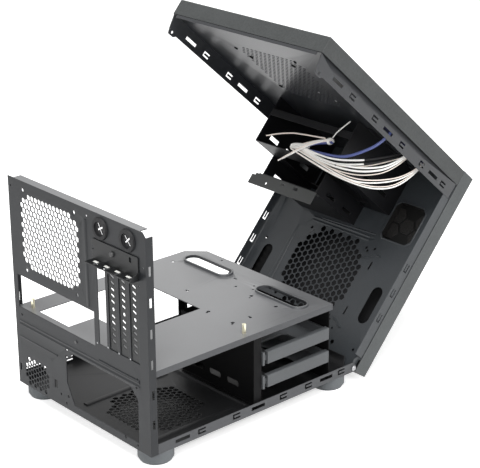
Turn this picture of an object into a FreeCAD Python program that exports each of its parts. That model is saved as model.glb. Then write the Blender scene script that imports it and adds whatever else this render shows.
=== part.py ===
import FreeCAD, Part
import math
import os

import Sketcher

# Flip-open small computer case. Millimetres, +Z up, front towards -Y.
# The origin is on the desk under the middle of the base.
# The base stands still; the shell (front and top together) swings about two pivots at the
# lower front corners and is drawn here fully open, as it stands at rest.

SIZES = {
    # base
    "foot_height": 17,
    "foot_radius": 22,
    "foot_inset": 22,
    "base_width": 270,
    "base_depth": 334,
    "panel_height": 280,
    "sheet": 1,
    "running_gap": 0.3,
    "pan_flange_height": 13.5,
    "pan_front_height": 18,
    "rear_flange_depth": 10.5,
    "rear_top_flange": 12,
    "slot_row_height": 7.5,
    # motherboard tray
    "tray_level": 106.5,
    "tray_width": 265,
    "tray_setback": 36,
    "tray_fold": 8,
    "tray_corner": 22,
    "cable_slot_length": 84,
    "cable_slot_width": 22,
    "cable_slot_rim": 2,
    "cable_slot_rise": 3,
    "standoff_height": 12,
    "standoff_radius": 2.6,
    # rear openings
    "fan_edge": 83.5,
    "fan_drop": 64,
    "fan_hole_spacing": 105,
    "fan_grille_half": 63,
    "fan_grille_rise": 54,
    "fan_grille_corner": 26,
    "fan_cell_pitch": 11,
    "shield_width": 158.75,
    "shield_height": 44.45,
    "shield_lift": 1.5,
    "expansion_pitch": 20.32,
    "expansion_edge": 24.6,
    "window_width": 15.4,
    "window_bottom": 114,
    "window_top": 218.5,
    "bracket_width": 18.4,
    "bracket_tab": 11,
    "retainer_height": 27,
    "retainer_depth": 13,
    "retainer_sheet": 1.5,
    "screw_notch": 11,
    "power_supply_width": 150,
    "power_supply_height": 86,
    "power_supply_edge": 18,
    "power_supply_lift": 2.5,
    "power_supply_frame": 4,
    "port_radius": 11,
    "port_drop": 17.5,
    "small_vent_half": 32,
    "small_vent_rise": 25,
    "small_vent_pitch": 12,
    "pan_vent_half": 57,
    "pan_vent_pitch": 16,
    # drive cage
    "cage_width": 119,
    "cage_length": 150,
    "cage_height": 84,
    "cage_setback": 39,
    "cage_slope": 24,
    "drive_tray_height": 16.5,
    "drive_tray_wall": 3,
    "drive_tray_floor": 2,
    "lower_tray_lift": 27,
    "drive_tray_pitch": 32,
    "runner_depth": 4,
    # hinge
    "open_angle": 41.5,
    "pivot_inset": -1.5,
    "pivot_lift": 5.5,
    "pivot_radius": 2.5,
    "pivot_fit": 0.06,
    "pivot_setback": 4,
    "pin_head": 1.1,
    "ear_radius": 5.4,
    # shell
    "shell_gap": 0.3,
    "shell_height": 284.5,
    "rail_height": 21.5,
    "front_flange_depth": 14.8,
    "cover_width": 274,
    "cover_height": 21.5,
    "cover_wall": 2.5,
    "fascia_depth": 24.5,
    "fascia_lift": 4,
    "fascia_side_wall": 1.7,
    "intake_lift": 110,
    "intake_half": 64,
    "intake_pitch": 13,
    "filter_sheet": 0.8,
    "side_vent_pitch": 9.2,
    "honeycomb_width": 52,
    "honeycomb_height": 56,
    "honeycomb_lift": 73,
    "honeycomb_depth": 10,
    "honeycomb_cell": 12.2,
    "honeycomb_gap": 2.5,
    "top_fan_rear": 109,
    # drive bays in the shell
    "optical_width": 149,
    "optical_height": 42,
    "optical_depth": 143.3,
    "optical_drop": 25.6,
    "optical_shift": 15,
    "floppy_width": 104,
    "floppy_height": 28.5,
    "floppy_depth": 98.3,
    "floppy_shift": 39,
    "bay_plate_height": 18,
    # buttons
    "button_inset": 34,
    "button_radius": 7,
    "button_travel": 1.5,
    # holes
    "cell_web": 1.6,
    "vent_slot_length": 14,
    "vent_slot_width": 5,
    # leads
    "port_board_drop": 4.5,
}

doc = FreeCAD.newDocument("flip_case")
sizes = doc.addObject("Spreadsheet::Sheet", "sizes")
for row, (alias, number) in enumerate(SIZES.items(), start=1):
    sizes.set(f"A{row}", alias)
    sizes.set(f"B{row}", str(number))
    sizes.setAlias(f"B{row}", alias)
doc.recompute()


class Measure:
    """A number together with the sheet expression that gives it."""

    def __init__(self, number, text=None):
        self.number = float(number)
        self.text = text or f"({self.number:.6f})"

    def __float__(self):
        return self.number

    def __add__(self, other):
        other = measure(other)
        return Measure(self.number + other.number, f"({self.text} + {other.text})")

    def __sub__(self, other):
        other = measure(other)
        return Measure(self.number - other.number, f"({self.text} - {other.text})")

    def __mul__(self, other):
        other = measure(other)
        return Measure(self.number * other.number, f"({self.text} * {other.text})")

    def __truediv__(self, other):
        other = measure(other)
        return Measure(self.number / other.number, f"({self.text} / {other.text})")

    def __neg__(self):
        return Measure(-self.number, f"(0 - {self.text})")

    def __radd__(self, other):
        return measure(other) + self

    def __rsub__(self, other):
        return measure(other) - self

    def __rmul__(self, other):
        return measure(other) * self


def measure(value):
    return value if isinstance(value, Measure) else Measure(value)


def size(alias):
    return Measure(float(sizes.get(alias)), f"sizes.{alias}")


def bind(thing, name, value):
    thing.setExpression(name, measure(value).text)


# Places that several pieces share
gap = size("running_gap")
sheet = size("sheet")
half_width = size("base_width") / 2
rear_y = size("base_depth") / 2
front_y = -rear_y
pan_z = size("foot_height")
floor_z = pan_z + sheet
panel_top = pan_z + size("panel_height")
panel_inner = rear_y - sheet
tray_top = pan_z + size("tray_level")
tray_under = tray_top - sheet
tray_half = size("tray_width") / 2
tray_front = front_y + size("tray_setback")
cable_slot_y = tray_front + 35
pivot_y = front_y + size("pivot_inset")
pivot_z = pan_z + size("pivot_lift")
flange_top = pan_z + size("pan_flange_height")
hook_row = pan_z + size("slot_row_height")
rear_flange_front = rear_y - size("rear_flange_depth")

fan_x = half_width - size("fan_edge")
fan_z = panel_top - size("fan_drop")
first_slot = -half_width + size("expansion_edge") + 3 * size("expansion_pitch")
window_low = pan_z + size("window_bottom")
window_high = pan_z + size("window_top")
shelf_z = window_high + sheet
port_z = panel_top - size("port_drop")
shield_right = first_slot + 16.6
shield_low = tray_top + size("shield_lift")
supply_low_x = -half_width + size("power_supply_edge")
supply_high_x = supply_low_x + size("power_supply_width")
supply_low_z = pan_z + size("power_supply_lift")
supply_high_z = supply_low_z + size("power_supply_height")

cage_rear = front_y + size("cage_setback") + size("cage_width")
cage_front = front_y + size("cage_setback")
cage_near = -half_width + 5
cage_far = cage_near + size("cage_length")

shell_front = pivot_y - size("pivot_setback")
shell_inner = half_width + size("shell_gap")
shell_outer = shell_inner + sheet
shell_rear = rear_y + gap + sheet
shell_top = pan_z + size("shell_height") + sheet
rail_bottom = shell_top - sheet - size("rail_height")
front_flange_end = shell_front + sheet + size("front_flange_depth")
shell_bottom = pan_z + size("fascia_lift")
cover_half = size("cover_width") / 2
cover_top = shell_top + size("cover_height")
fascia_front = shell_front - size("fascia_depth")
intake_z = pan_z + size("intake_lift")
optical_left = size("optical_shift") - size("optical_width") / 2
optical_right = size("optical_shift") + size("optical_width") / 2
optical_rear = shell_front + sheet + size("optical_depth")
optical_top = shell_top - sheet - size("optical_drop")
optical_low = optical_top - size("optical_height") - 2 * sheet
floppy_low = optical_low - size("floppy_height") - sheet
floppy_left = size("floppy_shift") - size("floppy_width") / 2
floppy_right = size("floppy_shift") + size("floppy_width") / 2
floppy_rear = shell_front + sheet + size("floppy_depth")

button_x = -cover_half + size("button_inset")
power_button_z = optical_top + 13
reset_button_z = optical_top - 2

hook_places = (151, 85, 31, -37, -89, -145.5)
slot_places = (119.5, -1.5, -119)
pan_hook_places = (89.5, 34, -44, -87.5, -146)

finished = {}


def path(*corners):
    return ("path", corners)


def rect(low_u, high_u, low_v, high_v):
    return path((low_u, low_v), (high_u, low_v), (high_u, high_v), (low_u, high_v))


def ring(middle_u, middle_v, radius):
    return ("ring", middle_u, middle_v, radius)


def chamfered(low_u, high_u, low_v, high_v, cut):
    return path(
        (low_u + cut, low_v), (high_u - cut, low_v), (high_u, low_v + cut), (high_u, high_v - cut),
        (high_u - cut, high_v), (low_u + cut, high_v), (low_u, high_v - cut), (low_u, low_v + cut),
    )


def oval(low_u, high_u, low_v, high_v):
    return ("oval", low_u, high_u, low_v, high_v)


def hook(middle_u, middle_v, long_u=12, long_v=7):
    """A U of slot round a tongue: what a side panel's hook drops into."""
    left = middle_u - long_u / 2
    right = middle_u + long_u / 2
    low = middle_v - long_v / 2
    high = middle_v + long_v / 2
    arm = 2.2
    return path(
        (left, low), (right, low), (right, high), (left, high),
        (left, high - arm), (right - arm, high - arm), (right - arm, low + arm), (left, low + arm),
    )


def fix(drawing, kind, item, point, value):
    index = drawing.addConstraint(Sketcher.Constraint(kind, -1, 1, item, point, float(value)))
    bind(drawing, f"Constraints[{index}]", value)


def draw_path(drawing, corners):
    first = drawing.GeometryCount
    points = [FreeCAD.Vector(float(u), float(v), 0) for u, v in corners]
    count = len(points)
    lines = [Part.LineSegment(points[i], points[(i + 1) % count]) for i in range(count)]
    drawing.addGeometry(lines, False)
    joins = []
    for i in range(count):
        joins.append(Sketcher.Constraint("Coincident", first + i, 2, first + (i + 1) % count, 1))
    drawing.addConstraint(joins)
    for i, (u, v) in enumerate(corners):
        fix(drawing, "DistanceX", first + i, 1, u)
        fix(drawing, "DistanceY", first + i, 1, v)


def draw_ring(drawing, middle_u, middle_v, radius):
    item = drawing.GeometryCount
    middle = FreeCAD.Vector(float(middle_u), float(middle_v), 0)
    drawing.addGeometry(Part.Circle(middle, FreeCAD.Vector(0, 0, 1), float(radius)), False)
    fix(drawing, "DistanceX", item, 3, middle_u)
    fix(drawing, "DistanceY", item, 3, middle_v)
    index = drawing.addConstraint(Sketcher.Constraint("Radius", item, float(radius)))
    bind(drawing, f"Constraints[{index}]", radius)


def draw_oval(drawing, low_u, high_u, low_v, high_v):
    """A slot with round ends, long along the wider of its two spans."""
    lying = float(high_u) - float(low_u) > float(high_v) - float(low_v)
    radius = measure(high_v - low_v if lying else high_u - low_u) / 2
    if lying:
        ends = ((low_u + radius, low_v + radius), (high_u - radius, low_v + radius))
        start = math.pi / 2
    else:
        ends = ((low_u + radius, low_v + radius), (low_u + radius, high_v - radius))
        start = math.pi
    item = drawing.GeometryCount
    middles = [FreeCAD.Vector(float(u), float(v), 0) for u, v in ends]
    arcs = []
    for middle, turn in zip(middles, (start, start + math.pi)):
        circle = Part.Circle(middle, FreeCAD.Vector(0, 0, 1), float(radius))
        arcs.append(Part.ArcOfCircle(circle, turn, turn + math.pi))
    lines = [
        Part.LineSegment(arcs[0].EndPoint, arcs[1].StartPoint),
        Part.LineSegment(arcs[1].EndPoint, arcs[0].StartPoint),
    ]
    drawing.addGeometry([arcs[0], lines[0], arcs[1], lines[1]], False)
    ring_order = [item, item + 1, item + 2, item + 3, item]
    drawing.addConstraint(
        [Sketcher.Constraint("Tangent", a, 2, b, 1) for a, b in zip(ring_order, ring_order[1:])]
    )
    for arc, (u, v) in zip((item, item + 2), ends):
        fix(drawing, "DistanceX", arc, 3, u)
        fix(drawing, "DistanceY", arc, 3, v)
        index = drawing.addConstraint(Sketcher.Constraint("Radius", arc, float(radius)))
        bind(drawing, f"Constraints[{index}]", radius)


DRAWERS = {"path": draw_path, "ring": draw_ring, "oval": draw_oval}


class Piece:
    """One sub-part, built up in a body from padded, cut and turned sketches."""

    def __init__(self, name):
        self.name = name
        self.body = doc.addObject("PartDesign::Body", name)
        self.body.Label = name
        finished[name] = self.body

    def sketch(self, plane, level, loops):
        drawing = self.body.newObject("Sketcher::SketchObject", f"{self.name}_sketch")
        support = next(item for item in self.body.Origin.OriginFeatures if item.Role == plane)
        drawing.AttachmentSupport = [(support, "")]
        drawing.MapMode = "FlatFace"
        bind(drawing, "AttachmentOffset.Base.z", -measure(level) if plane == "XZ_Plane" else level)
        for kind, *values in loops:
            if kind == "path":
                draw_path(drawing, *values)
            else:
                DRAWERS[kind](drawing, *values)
        return drawing

    def pad(self, plane, low, high, *loops):
        """Adds material between two levels along the plane's own axis."""
        start = high if plane == "XZ_Plane" else low
        feature = self.body.newObject("PartDesign::Pad", f"{self.name}_pad")
        feature.Profile = self.sketch(plane, start, loops)
        bind(feature, "Length", measure(high) - low)
        return self

    def cut(self, plane, low, high, *loops):
        """Takes material away between two levels along the plane's own axis."""
        start = low if plane == "XZ_Plane" else high
        feature = self.body.newObject("PartDesign::Pocket", f"{self.name}_pocket")
        feature.Profile = self.sketch(plane, start, loops)
        bind(feature, "Length", measure(high) - low)
        return self

    def turn(self, *corners):
        """Revolves a half profile of (radius, height) corners about the body's own Z."""
        drawing = self.sketch("XZ_Plane", 0, [path(*corners)])
        feature = self.body.newObject("PartDesign::Revolution", f"{self.name}_turned")
        feature.Profile = drawing
        feature.ReferenceAxis = (drawing, ["V_Axis"])
        feature.Angle = 360
        return self

    def soften(self, radius, choose):
        """Rounds the edges that choose picks from the solid as it stands."""
        doc.recompute()
        base = self.body.Tip
        names = []
        for number, edge in enumerate(base.Shape.Edges, start=1):
            if choose(edge):
                names.append(f"Edge{number}")
        feature = self.body.newObject("PartDesign::Fillet", f"{self.name}_fillet")
        feature.Base = (base, names)
        bind(feature, "Radius", radius)
        return self

    def at(self, x, y, z, rotation=None):
        turn = rotation or FreeCAD.Rotation()
        self.body.Placement = FreeCAD.Placement(FreeCAD.Vector(float(x), float(y), float(z)), turn)
        return self


def along(edge, axis):
    """True for a straight edge that runs along the given axis."""
    if len(edge.Vertexes) != 2:
        return False
    step = edge.Vertexes[1].Point - edge.Vertexes[0].Point
    return step.Length > 0 and abs(abs(step.normalize().dot(axis)) - 1) < 1e-6


def near(edge, **place):
    """True for an edge whose middle lies at the given coordinates."""
    middle = edge.CenterOfMass
    return all(abs(getattr(middle, name) - float(value)) < 0.01 for name, value in place.items())


X_AXIS = FreeCAD.Vector(1, 0, 0)
Y_AXIS = FreeCAD.Vector(0, 1, 0)
Z_AXIS = FreeCAD.Vector(0, 0, 1)
OUT_REAR = FreeCAD.Rotation(X_AXIS, -90)
OUT_FRONT = FreeCAD.Rotation(X_AXIS, 90)


def prism(plane, corners, low, high):
    """A straight prism over corners in the plane, between two levels along its axis."""
    if plane == "XY_Plane":
        points = [FreeCAD.Vector(u, v, low) for u, v in corners]
        reach = FreeCAD.Vector(0, 0, high - low)
    else:
        points = [FreeCAD.Vector(u, low, v) for u, v in corners]
        reach = FreeCAD.Vector(0, high - low, 0)
    return Part.Face(Part.makePolygon(points + points[:1])).extrude(reach)


def hexagon(middle_u, middle_v, radius, start=30):
    """The six corners of a regular hexagon."""
    corners = []
    for corner in range(6):
        angle = math.radians(start + 60 * corner)
        corners.append((middle_u + radius * math.cos(angle), middle_v + radius * math.sin(angle)))
    return corners


def hex_cells(plane, middle, half_u, half_v, low, high, pitch, corner, slope=1):
    """Hexagonal holes in staggered rows, in a rectangle whose corners are cut at a slope."""
    pitch, half_u, half_v, corner = (float(value) for value in (pitch, half_u, half_v, corner))
    radius = (pitch - float(size("cell_web"))) / math.sqrt(3)
    rise = pitch * math.sqrt(3) / 2
    rows = int((half_v - radius) / rise)
    columns = int(half_u / pitch) + 1
    cells = []
    for row in range(-rows, rows + 1):
        for column in range(-columns, columns + 1):
            u = column * pitch + (pitch / 2 if row % 2 else 0)
            v = row * rise
            side = half_u - abs(u) - pitch / 2
            end = half_v - abs(v) - radius
            if side < 0 or side + slope * end < corner:
                continue
            corners = hexagon(float(middle[0]) + u, float(middle[1]) + v, radius)
            cells.append(prism(plane, corners, float(low), float(high)))
    return cells


def slanted_cells(middle_u, middles_v, wide, tall, slant, low, high):
    """A column of slanted slots in an upright plate."""
    cells = []
    for v in middles_v:
        corners = [
            (middle_u - wide / 2, v - tall / 2 - slant), (middle_u + wide / 2, v - tall / 2 + slant),
            (middle_u + wide / 2, v + tall / 2 + slant), (middle_u - wide / 2, v + tall / 2 - slant),
        ]
        cells.append(prism("XZ_Plane", corners, low, high))
    return cells


def brick_slots(middle, half_u, half_v, low, high):
    """Rectangular vent slots in staggered rows in a lying plate, corners left whole."""
    long_u = float(size("vent_slot_length"))
    long_v = float(size("vent_slot_width"))
    step_u = long_u + 4
    step_v = long_v + 4
    cells = []
    rows = int(half_v / step_v)
    for row in range(-rows, rows + 1):
        shift = step_u / 2 if row % 2 else 0
        for column in range(-int(half_u / step_u) - 1, int(half_u / step_u) + 2):
            u = column * step_u + shift
            v = row * step_v
            if abs(u) + long_u / 2 > half_u or abs(u) + abs(v) > 1.45 * half_u:
                continue
            left = float(middle[0]) + u - long_u / 2
            low_v = float(middle[1]) + v - long_v / 2
            corners = [
                (left, low_v), (left + long_u, low_v),
                (left + long_u, low_v + long_v), (left, low_v + long_v),
            ]
            cells.append(prism("XY_Plane", corners, float(low), float(high)))
    return cells


def perforate(piece, cells):
    """Cuts the cells out of the piece, which keeps its name."""
    holes = doc.addObject("Part::Feature", f"{piece.name}_cells")
    holes.Shape = Part.makeCompound(cells)
    result = doc.addObject("Part::Cut", f"{piece.name}_perforated")
    piece.body.Label = f"{piece.name}_blank"
    result.Base = piece.body
    result.Tool = holes
    result.Label = piece.name
    finished[piece.name] = result


def group(name, items):
    """Several fuse-free solids of one kind in one sub-part."""
    result = doc.addObject("Part::Compound", name)
    result.Links = items
    result.Label = name
    finished[name] = result


# Base

def bottom_pan():
    piece = Piece("bottom_pan")
    inside = half_width - sheet
    piece.pad("XY_Plane", pan_z, floor_z, rect(-inside, inside, front_y, panel_inner))
    front_half = half_width - 15
    piece.pad("XZ_Plane", front_y, front_y + sheet,
              rect(-front_half, front_half, pan_z, pan_z + size("pan_front_height")))
    piece.pad("XZ_Plane", panel_inner - sheet, panel_inner,
              rect(-inside, inside, pan_z, pan_z + 5))
    for low, high in ((-half_width, -inside), (inside, half_width)):
        flange = rect(pivot_y, rear_flange_front - gap, pan_z, flange_top)
        piece.pad("YZ_Plane", low, high, flange)
        piece.pad("YZ_Plane", low, high, ring(pivot_y, pivot_z, size("ear_radius")))
        bore = ring(pivot_y, pivot_z, size("pivot_radius"))
        piece.cut("YZ_Plane", low - 1, high + 1, bore)
    holes = [hook(measure(y), hook_row) for y in pan_hook_places]
    holes += [rect(y - 11, y + 11, hook_row - 2.2, hook_row + 2.2) for y in slot_places]
    piece.cut("YZ_Plane", -half_width - 1, half_width + 1, *holes)
    # A ridge across the floor stops the power supply; two ribs carry it.
    low_x = supply_low_x + 4
    high_x = supply_high_x - 4
    piece.pad("YZ_Plane", low_x, high_x,
              path((-4, floor_z), (4, floor_z), (2, floor_z + 2.5), (-2, floor_z + 2.5)))
    for x in (low_x + 6, high_x - 6):
        rib = path((x - 5, floor_z), (x + 5, floor_z), (x + 3, floor_z + 1.5), (x - 3, floor_z + 1.5))
        piece.pad("XZ_Plane", 16, rear_y - 22, rib)
    middle = (-(half_width - size("power_supply_edge") - size("power_supply_width") / 2), 86)
    half = size("pan_vent_half")
    cells = hex_cells("XY_Plane", middle, half, half, pan_z - 1, floor_z + 1,
                      size("pan_vent_pitch"), 0.5 * half)
    perforate(piece, cells)


def rear_panel():
    piece = Piece("rear_panel")
    cut = 6
    outline = path(
        (-half_width, pan_z), (half_width, pan_z), (half_width, panel_top),
        (-half_width + cut, panel_top), (-half_width, panel_top - cut),
    )
    piece.pad("XZ_Plane", panel_inner, rear_y, outline)
    side_top = panel_top - 6
    for low, high in ((-half_width, -half_width + sheet), (half_width - sheet, half_width)):
        piece.pad("YZ_Plane", low, high, rect(rear_flange_front, panel_inner, pan_z, side_top))
    flange_front = rear_y - size("rear_top_flange")
    piece.pad("XY_Plane", panel_top - sheet, panel_top,
              rect(-half_width + 11, half_width - 11, flange_front, panel_inner))
    hooks = []
    flange_y = (rear_flange_front + panel_inner) / 2
    for step in range(6):
        middle = side_top - 41 - step * 38.5
        hooks.append(rect(flange_y - 1.5, flange_y + 2.2, middle - 6, middle + 6))
    piece.cut("YZ_Plane", -half_width - 1, half_width + 1, *hooks)
    through = (panel_inner - 1, rear_y + 1)
    # Shield window, power supply opening and the square holes beside it
    piece.cut("XZ_Plane", *through,
              rect(shield_right, shield_right + size("shield_width"),
                   shield_low, shield_low + size("shield_height")))
    frame = size("power_supply_frame")
    low_x = supply_low_x + frame
    high_x = supply_high_x - frame
    low_z = supply_low_z + 7.5
    high_z = supply_high_z - 8
    supply = path(
        (low_x, low_z), (high_x - 14, low_z), (high_x, low_z + 27), (high_x, high_z - 14),
        (high_x - 14, high_z), (low_x + 14, high_z), (low_x, high_z - 14),
    )
    piece.cut("XZ_Plane", *through, supply)
    piece.cut("XZ_Plane", *through,
              rect(supply_high_x + 17, supply_high_x + 23, pan_z + 21, pan_z + 32),
              rect(half_width - 7, half_width - 4, pan_z + 18, pan_z + 28))
    # Expansion windows, the slit for the bracket tabs and the shelf under them
    windows = []
    for index in range(4):
        middle = first_slot - index * size("expansion_pitch")
        half = size("window_width") / 2
        windows.append(rect(middle - half, middle + half, window_low, window_high))
    piece.cut("XZ_Plane", *through, *windows)
    slit_low = first_slot - 3 * size("expansion_pitch") - 10
    slit_high = first_slot + 10
    piece.cut("XZ_Plane", *through, rect(slit_low, slit_high, shelf_z, shelf_z + sheet + gap))
    piece.pad("XY_Plane", window_high, shelf_z,
              rect(slit_low, slit_high, panel_inner, rear_y + size("bracket_tab")))
    piece.cut("XY_Plane", window_high - 1, shelf_z + 1,
              *[screw_notch(index) for index in range(4)])
    # Screw holes: fan, power supply, hose ports, retainer
    half_fan = size("fan_hole_spacing") / 2
    rings = [ring(fan_x + u * half_fan, fan_z + v * half_fan, 2.2) for u in (-1, 1) for v in (-1, 1)]
    supply_holes = ((6, 80), (144, 80), (144, 16), (30, 6))
    rings += [ring(supply_low_x + u, supply_low_z + v, 2) for u, v in supply_holes]
    rings += [ring(x, port_z, size("port_radius")) for x in port_places()]
    rings.append(ring(retainer_screw_x(), retainer_screw_z(), 2))
    piece.cut("XZ_Plane", *through, *rings)
    # Raised beads stiffen the sheet
    bead_lines = (
        (-half_width + 18, half_width - 9, pan_z + 89.5),
        (-half_width + 18, half_width - 9, pan_z + 84.5),
        (supply_high_x + 14, half_width - 7, pan_z + 67),
    )
    for low, high, z in bead_lines:
        bead = path((rear_y, z - 1.6), (rear_y, z + 1.6), (rear_y + 0.8, z + 0.7), (rear_y + 0.8, z - 0.7))
        piece.pad("YZ_Plane", low, high, bead)
    upright = fan_x - size("fan_grille_half") - 11
    bead = path((upright - 3, rear_y), (upright + 3, rear_y),
                (upright + 2, rear_y + 0.8), (upright - 2, rear_y + 0.8))
    piece.pad("XY_Plane", fan_z - 60, fan_z + 50, bead)
    # The corners of the fan lattice are cut twice as wide as they are high
    cells = hex_cells("XZ_Plane", (fan_x, fan_z), size("fan_grille_half"), size("fan_grille_rise"),
                      panel_inner - 1, rear_y + 1, size("fan_cell_pitch"), size("fan_grille_corner"), 2)
    small = (half_width - 41.5, pan_z + 30.5)
    cells += hex_cells("XZ_Plane", small, size("small_vent_half"), size("small_vent_rise"),
                       panel_inner - 1, rear_y + 1, size("small_vent_pitch"), 0)
    perforate(piece, cells)


def screw_notch(index):
    """The open notch for a bracket's screw, the same in the shelf and in the bracket's tab."""
    middle = first_slot - index * size("expansion_pitch")
    half = size("screw_notch") / 2
    return rect(middle - half, middle + half, rear_y + 3, rear_y + size("bracket_tab") + 1)


def port_places():
    return (first_slot - 2.4, first_slot - 53)


def retainer_screw_x():
    return first_slot - 25.3


def retainer_screw_z():
    return shelf_z + sheet + 17.5


def motherboard_tray():
    piece = Piece("motherboard_tray")
    corner = size("tray_corner")
    rear = panel_inner
    outline = path(
        (-tray_half, tray_front), (tray_half - corner, tray_front), (tray_half, tray_front + corner),
        (tray_half, rear), (-tray_half, rear),
    )
    piece.pad("XY_Plane", tray_under, tray_top, outline)
    fold_low = tray_top - size("tray_fold")
    for low, high, start in ((-tray_half, -tray_half + sheet, tray_front),
                             (tray_half - sheet, tray_half, tray_front + corner)):
        piece.pad("YZ_Plane", low, high,
                  rect(start, rear_flange_front - 1, fold_low, tray_under))
    piece.pad("XZ_Plane", tray_front, tray_front + sheet,
              rect(-tray_half + sheet, tray_half - corner, fold_low, tray_under))
    piece.pad("XZ_Plane", rear - sheet, rear,
              rect(-tray_half + 4, tray_half - 4, tray_under - 12, tray_under))
    # The processor window reaches the rear on the shield's side
    window_left = half_width - 36
    window = path(
        (shield_right + 2, 2), (window_left, 2), (window_left, rear - 10),
        (window_left - 63, rear - 10), (window_left - 63, rear - 51), (shield_right + 2, rear - 51),
    )
    piece.cut("XY_Plane", tray_under - 1, tray_top + 1, window)
    rim = size("cable_slot_rim")
    for low_x, high_x in cable_slot_spans():
        low_y = cable_slot_y - size("cable_slot_width") / 2
        high_y = cable_slot_y + size("cable_slot_width") / 2
        piece.pad("XY_Plane", tray_top, tray_top + size("cable_slot_rise"),
                  oval(low_x - rim, high_x + rim, low_y - rim, high_y + rim))
        piece.cut("XY_Plane", tray_under - 1, tray_top + size("cable_slot_rise") + 1,
                  oval(low_x, high_x, low_y, high_y))
    board = board_holes()
    holes = [ring(x, y, 2.4) for x, y in board[1:]]
    holes += [ring(x, y, 1.5) for x, y in (board[0], (-tray_half + 10.5, 10))]
    piece.cut("XY_Plane", tray_under - 1, tray_top + 1, *holes)
    stamp = [rect(x - 3, x + 3, y - 1.2, y + 1.2) for x, y in ((12, -95), (-92, -27), (24.5, -23))]
    piece.cut("XY_Plane", tray_under - 1, tray_top + 1, *stamp)


def cable_slot_spans():
    length = size("cable_slot_length")
    left = -tray_half + 15.5
    right = tray_half - 23
    return ((left, left + length), (right - length, right))


def board_holes():
    """Board screw places: rows 10.16, 165.1 and 237.49 from the rear, columns 157.48 and 45.72 apart."""
    inner_column = first_slot + 5
    rear = panel_inner - 1
    places = []
    for column in (inner_column + 157.48, inner_column, inner_column - 45.72):
        for row in (10.16, 165.1, 237.49):
            place = (column, rear - row)
            if float(column) > 0 and row == 165.1:
                continue
            if float(column) < float(inner_column) and row == 10.16:
                continue
            places.append(place)
    return places


def standoffs():
    """Two hexagon posts of the set, screwed into the tray; the rest are fitted with the board."""
    height = size("standoff_height")
    radius = size("standoff_radius")
    items = []
    places = ((-tray_half + 10.5, 10), (board_holes()[0][0], board_holes()[0][1]))
    for index, (x, y) in enumerate(places):
        post = Piece(f"standoff_{index}")
        del finished[post.name]
        post.pad("XY_Plane", 0, height, path(*hexagon(0, 0, radius)))
        post.pad("XY_Plane", -3, 0, ring(0, 0, 1.5))
        post.at(x, y, tray_top)
        items.append(post.body)
    group("standoffs", items)


def slot_cover(index):
    piece = Piece(f"slot_cover_{index}")
    middle = first_slot - index * size("expansion_pitch")
    half = size("bracket_width") / 2
    back = panel_inner - sheet
    low = tray_top + 2
    plate = path(
        (middle - half + 3, low), (middle + half - 3, low), (middle + half, low + 4),
        (middle + half, shelf_z + sheet), (middle - half, shelf_z + sheet), (middle - half, low + 4),
    )
    piece.pad("XZ_Plane", back, panel_inner, plate)
    piece.pad("XY_Plane", shelf_z, shelf_z + sheet,
              rect(middle - half, middle + half, back, rear_y + size("bracket_tab") - gap))
    piece.cut("XY_Plane", shelf_z - 1, shelf_z + sheet + 1, screw_notch(index))
    middle_z = (window_low + window_high) / 2 + 1
    piece.cut("XZ_Plane", back - 1, panel_inner + 1, ring(middle, middle_z, 2.4))
    steps = [step for step in range(-5, 6) if step]
    heights = [float(middle_z) + 7.9 * step + math.copysign(1.4, step) for step in steps]
    perforate(piece, slanted_cells(float(middle) + 0.5, heights, 6.5, 3.2, 1.3,
                                   float(back) - 1, float(panel_inner) + 1))


def slot_retainer():
    """The plate that clamps the bracket tabs, with a flange over them and one end wall."""
    piece = Piece("slot_retainer")
    thick = size("retainer_sheet")
    low_x = first_slot - 3 * size("expansion_pitch") - 11.5
    high_x = first_slot + 13
    low = shelf_z + sheet
    high = low + size("retainer_height")
    outer = rear_y + size("retainer_depth")
    back = rear_y + thick
    piece.pad("XZ_Plane", rear_y, back, rect(low_x, high_x, low, high))
    piece.pad("XY_Plane", low, low + sheet, rect(low_x, high_x, back, outer))
    side = path((back, low + sheet), (outer, low + sheet), (outer, low + 3), (back, low + 9))
    piece.pad("YZ_Plane", low_x, low_x + sheet, side)
    holes = []
    half = size("screw_notch") / 2
    for index in range(4):
        middle = first_slot - index * size("expansion_pitch")
        holes.append(oval(middle - half, middle + half, back + 1.2, outer - 1.3))
    piece.cut("XY_Plane", low - 1, low + 2, *holes)
    square_x = retainer_screw_x() - 33.5
    piece.cut("XZ_Plane", rear_y - 1, back + 1,
              ring(retainer_screw_x(), retainer_screw_z(), 2),
              ring(high_x - 1, retainer_screw_z() - 1, 3),
              rect(square_x - 2.2, square_x + 2.2, retainer_screw_z(), retainer_screw_z() + 6))
    piece.soften(2, lambda edge: along(edge, Y_AXIS) and edge.CenterOfMass.z > float(high) - 1)


def screw(name, head_radius, head_height, shank_radius, shank_length):
    """A pan-head screw along its own Z, head up, seat at zero."""
    piece = Piece(name)
    shoulder = head_radius * 0.75
    piece.turn((0, -shank_length), (shank_radius, -shank_length), (shank_radius, 0), (head_radius, 0),
               (head_radius, head_height * 0.5), (shoulder, head_height), (0, head_height))
    return piece


def retainer_screw():
    piece = screw("retainer_screw", 3.6, 2.6, 1.9, 5)
    piece.at(retainer_screw_x(), rear_y + size("retainer_sheet"), retainer_screw_z(), OUT_REAR)


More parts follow.
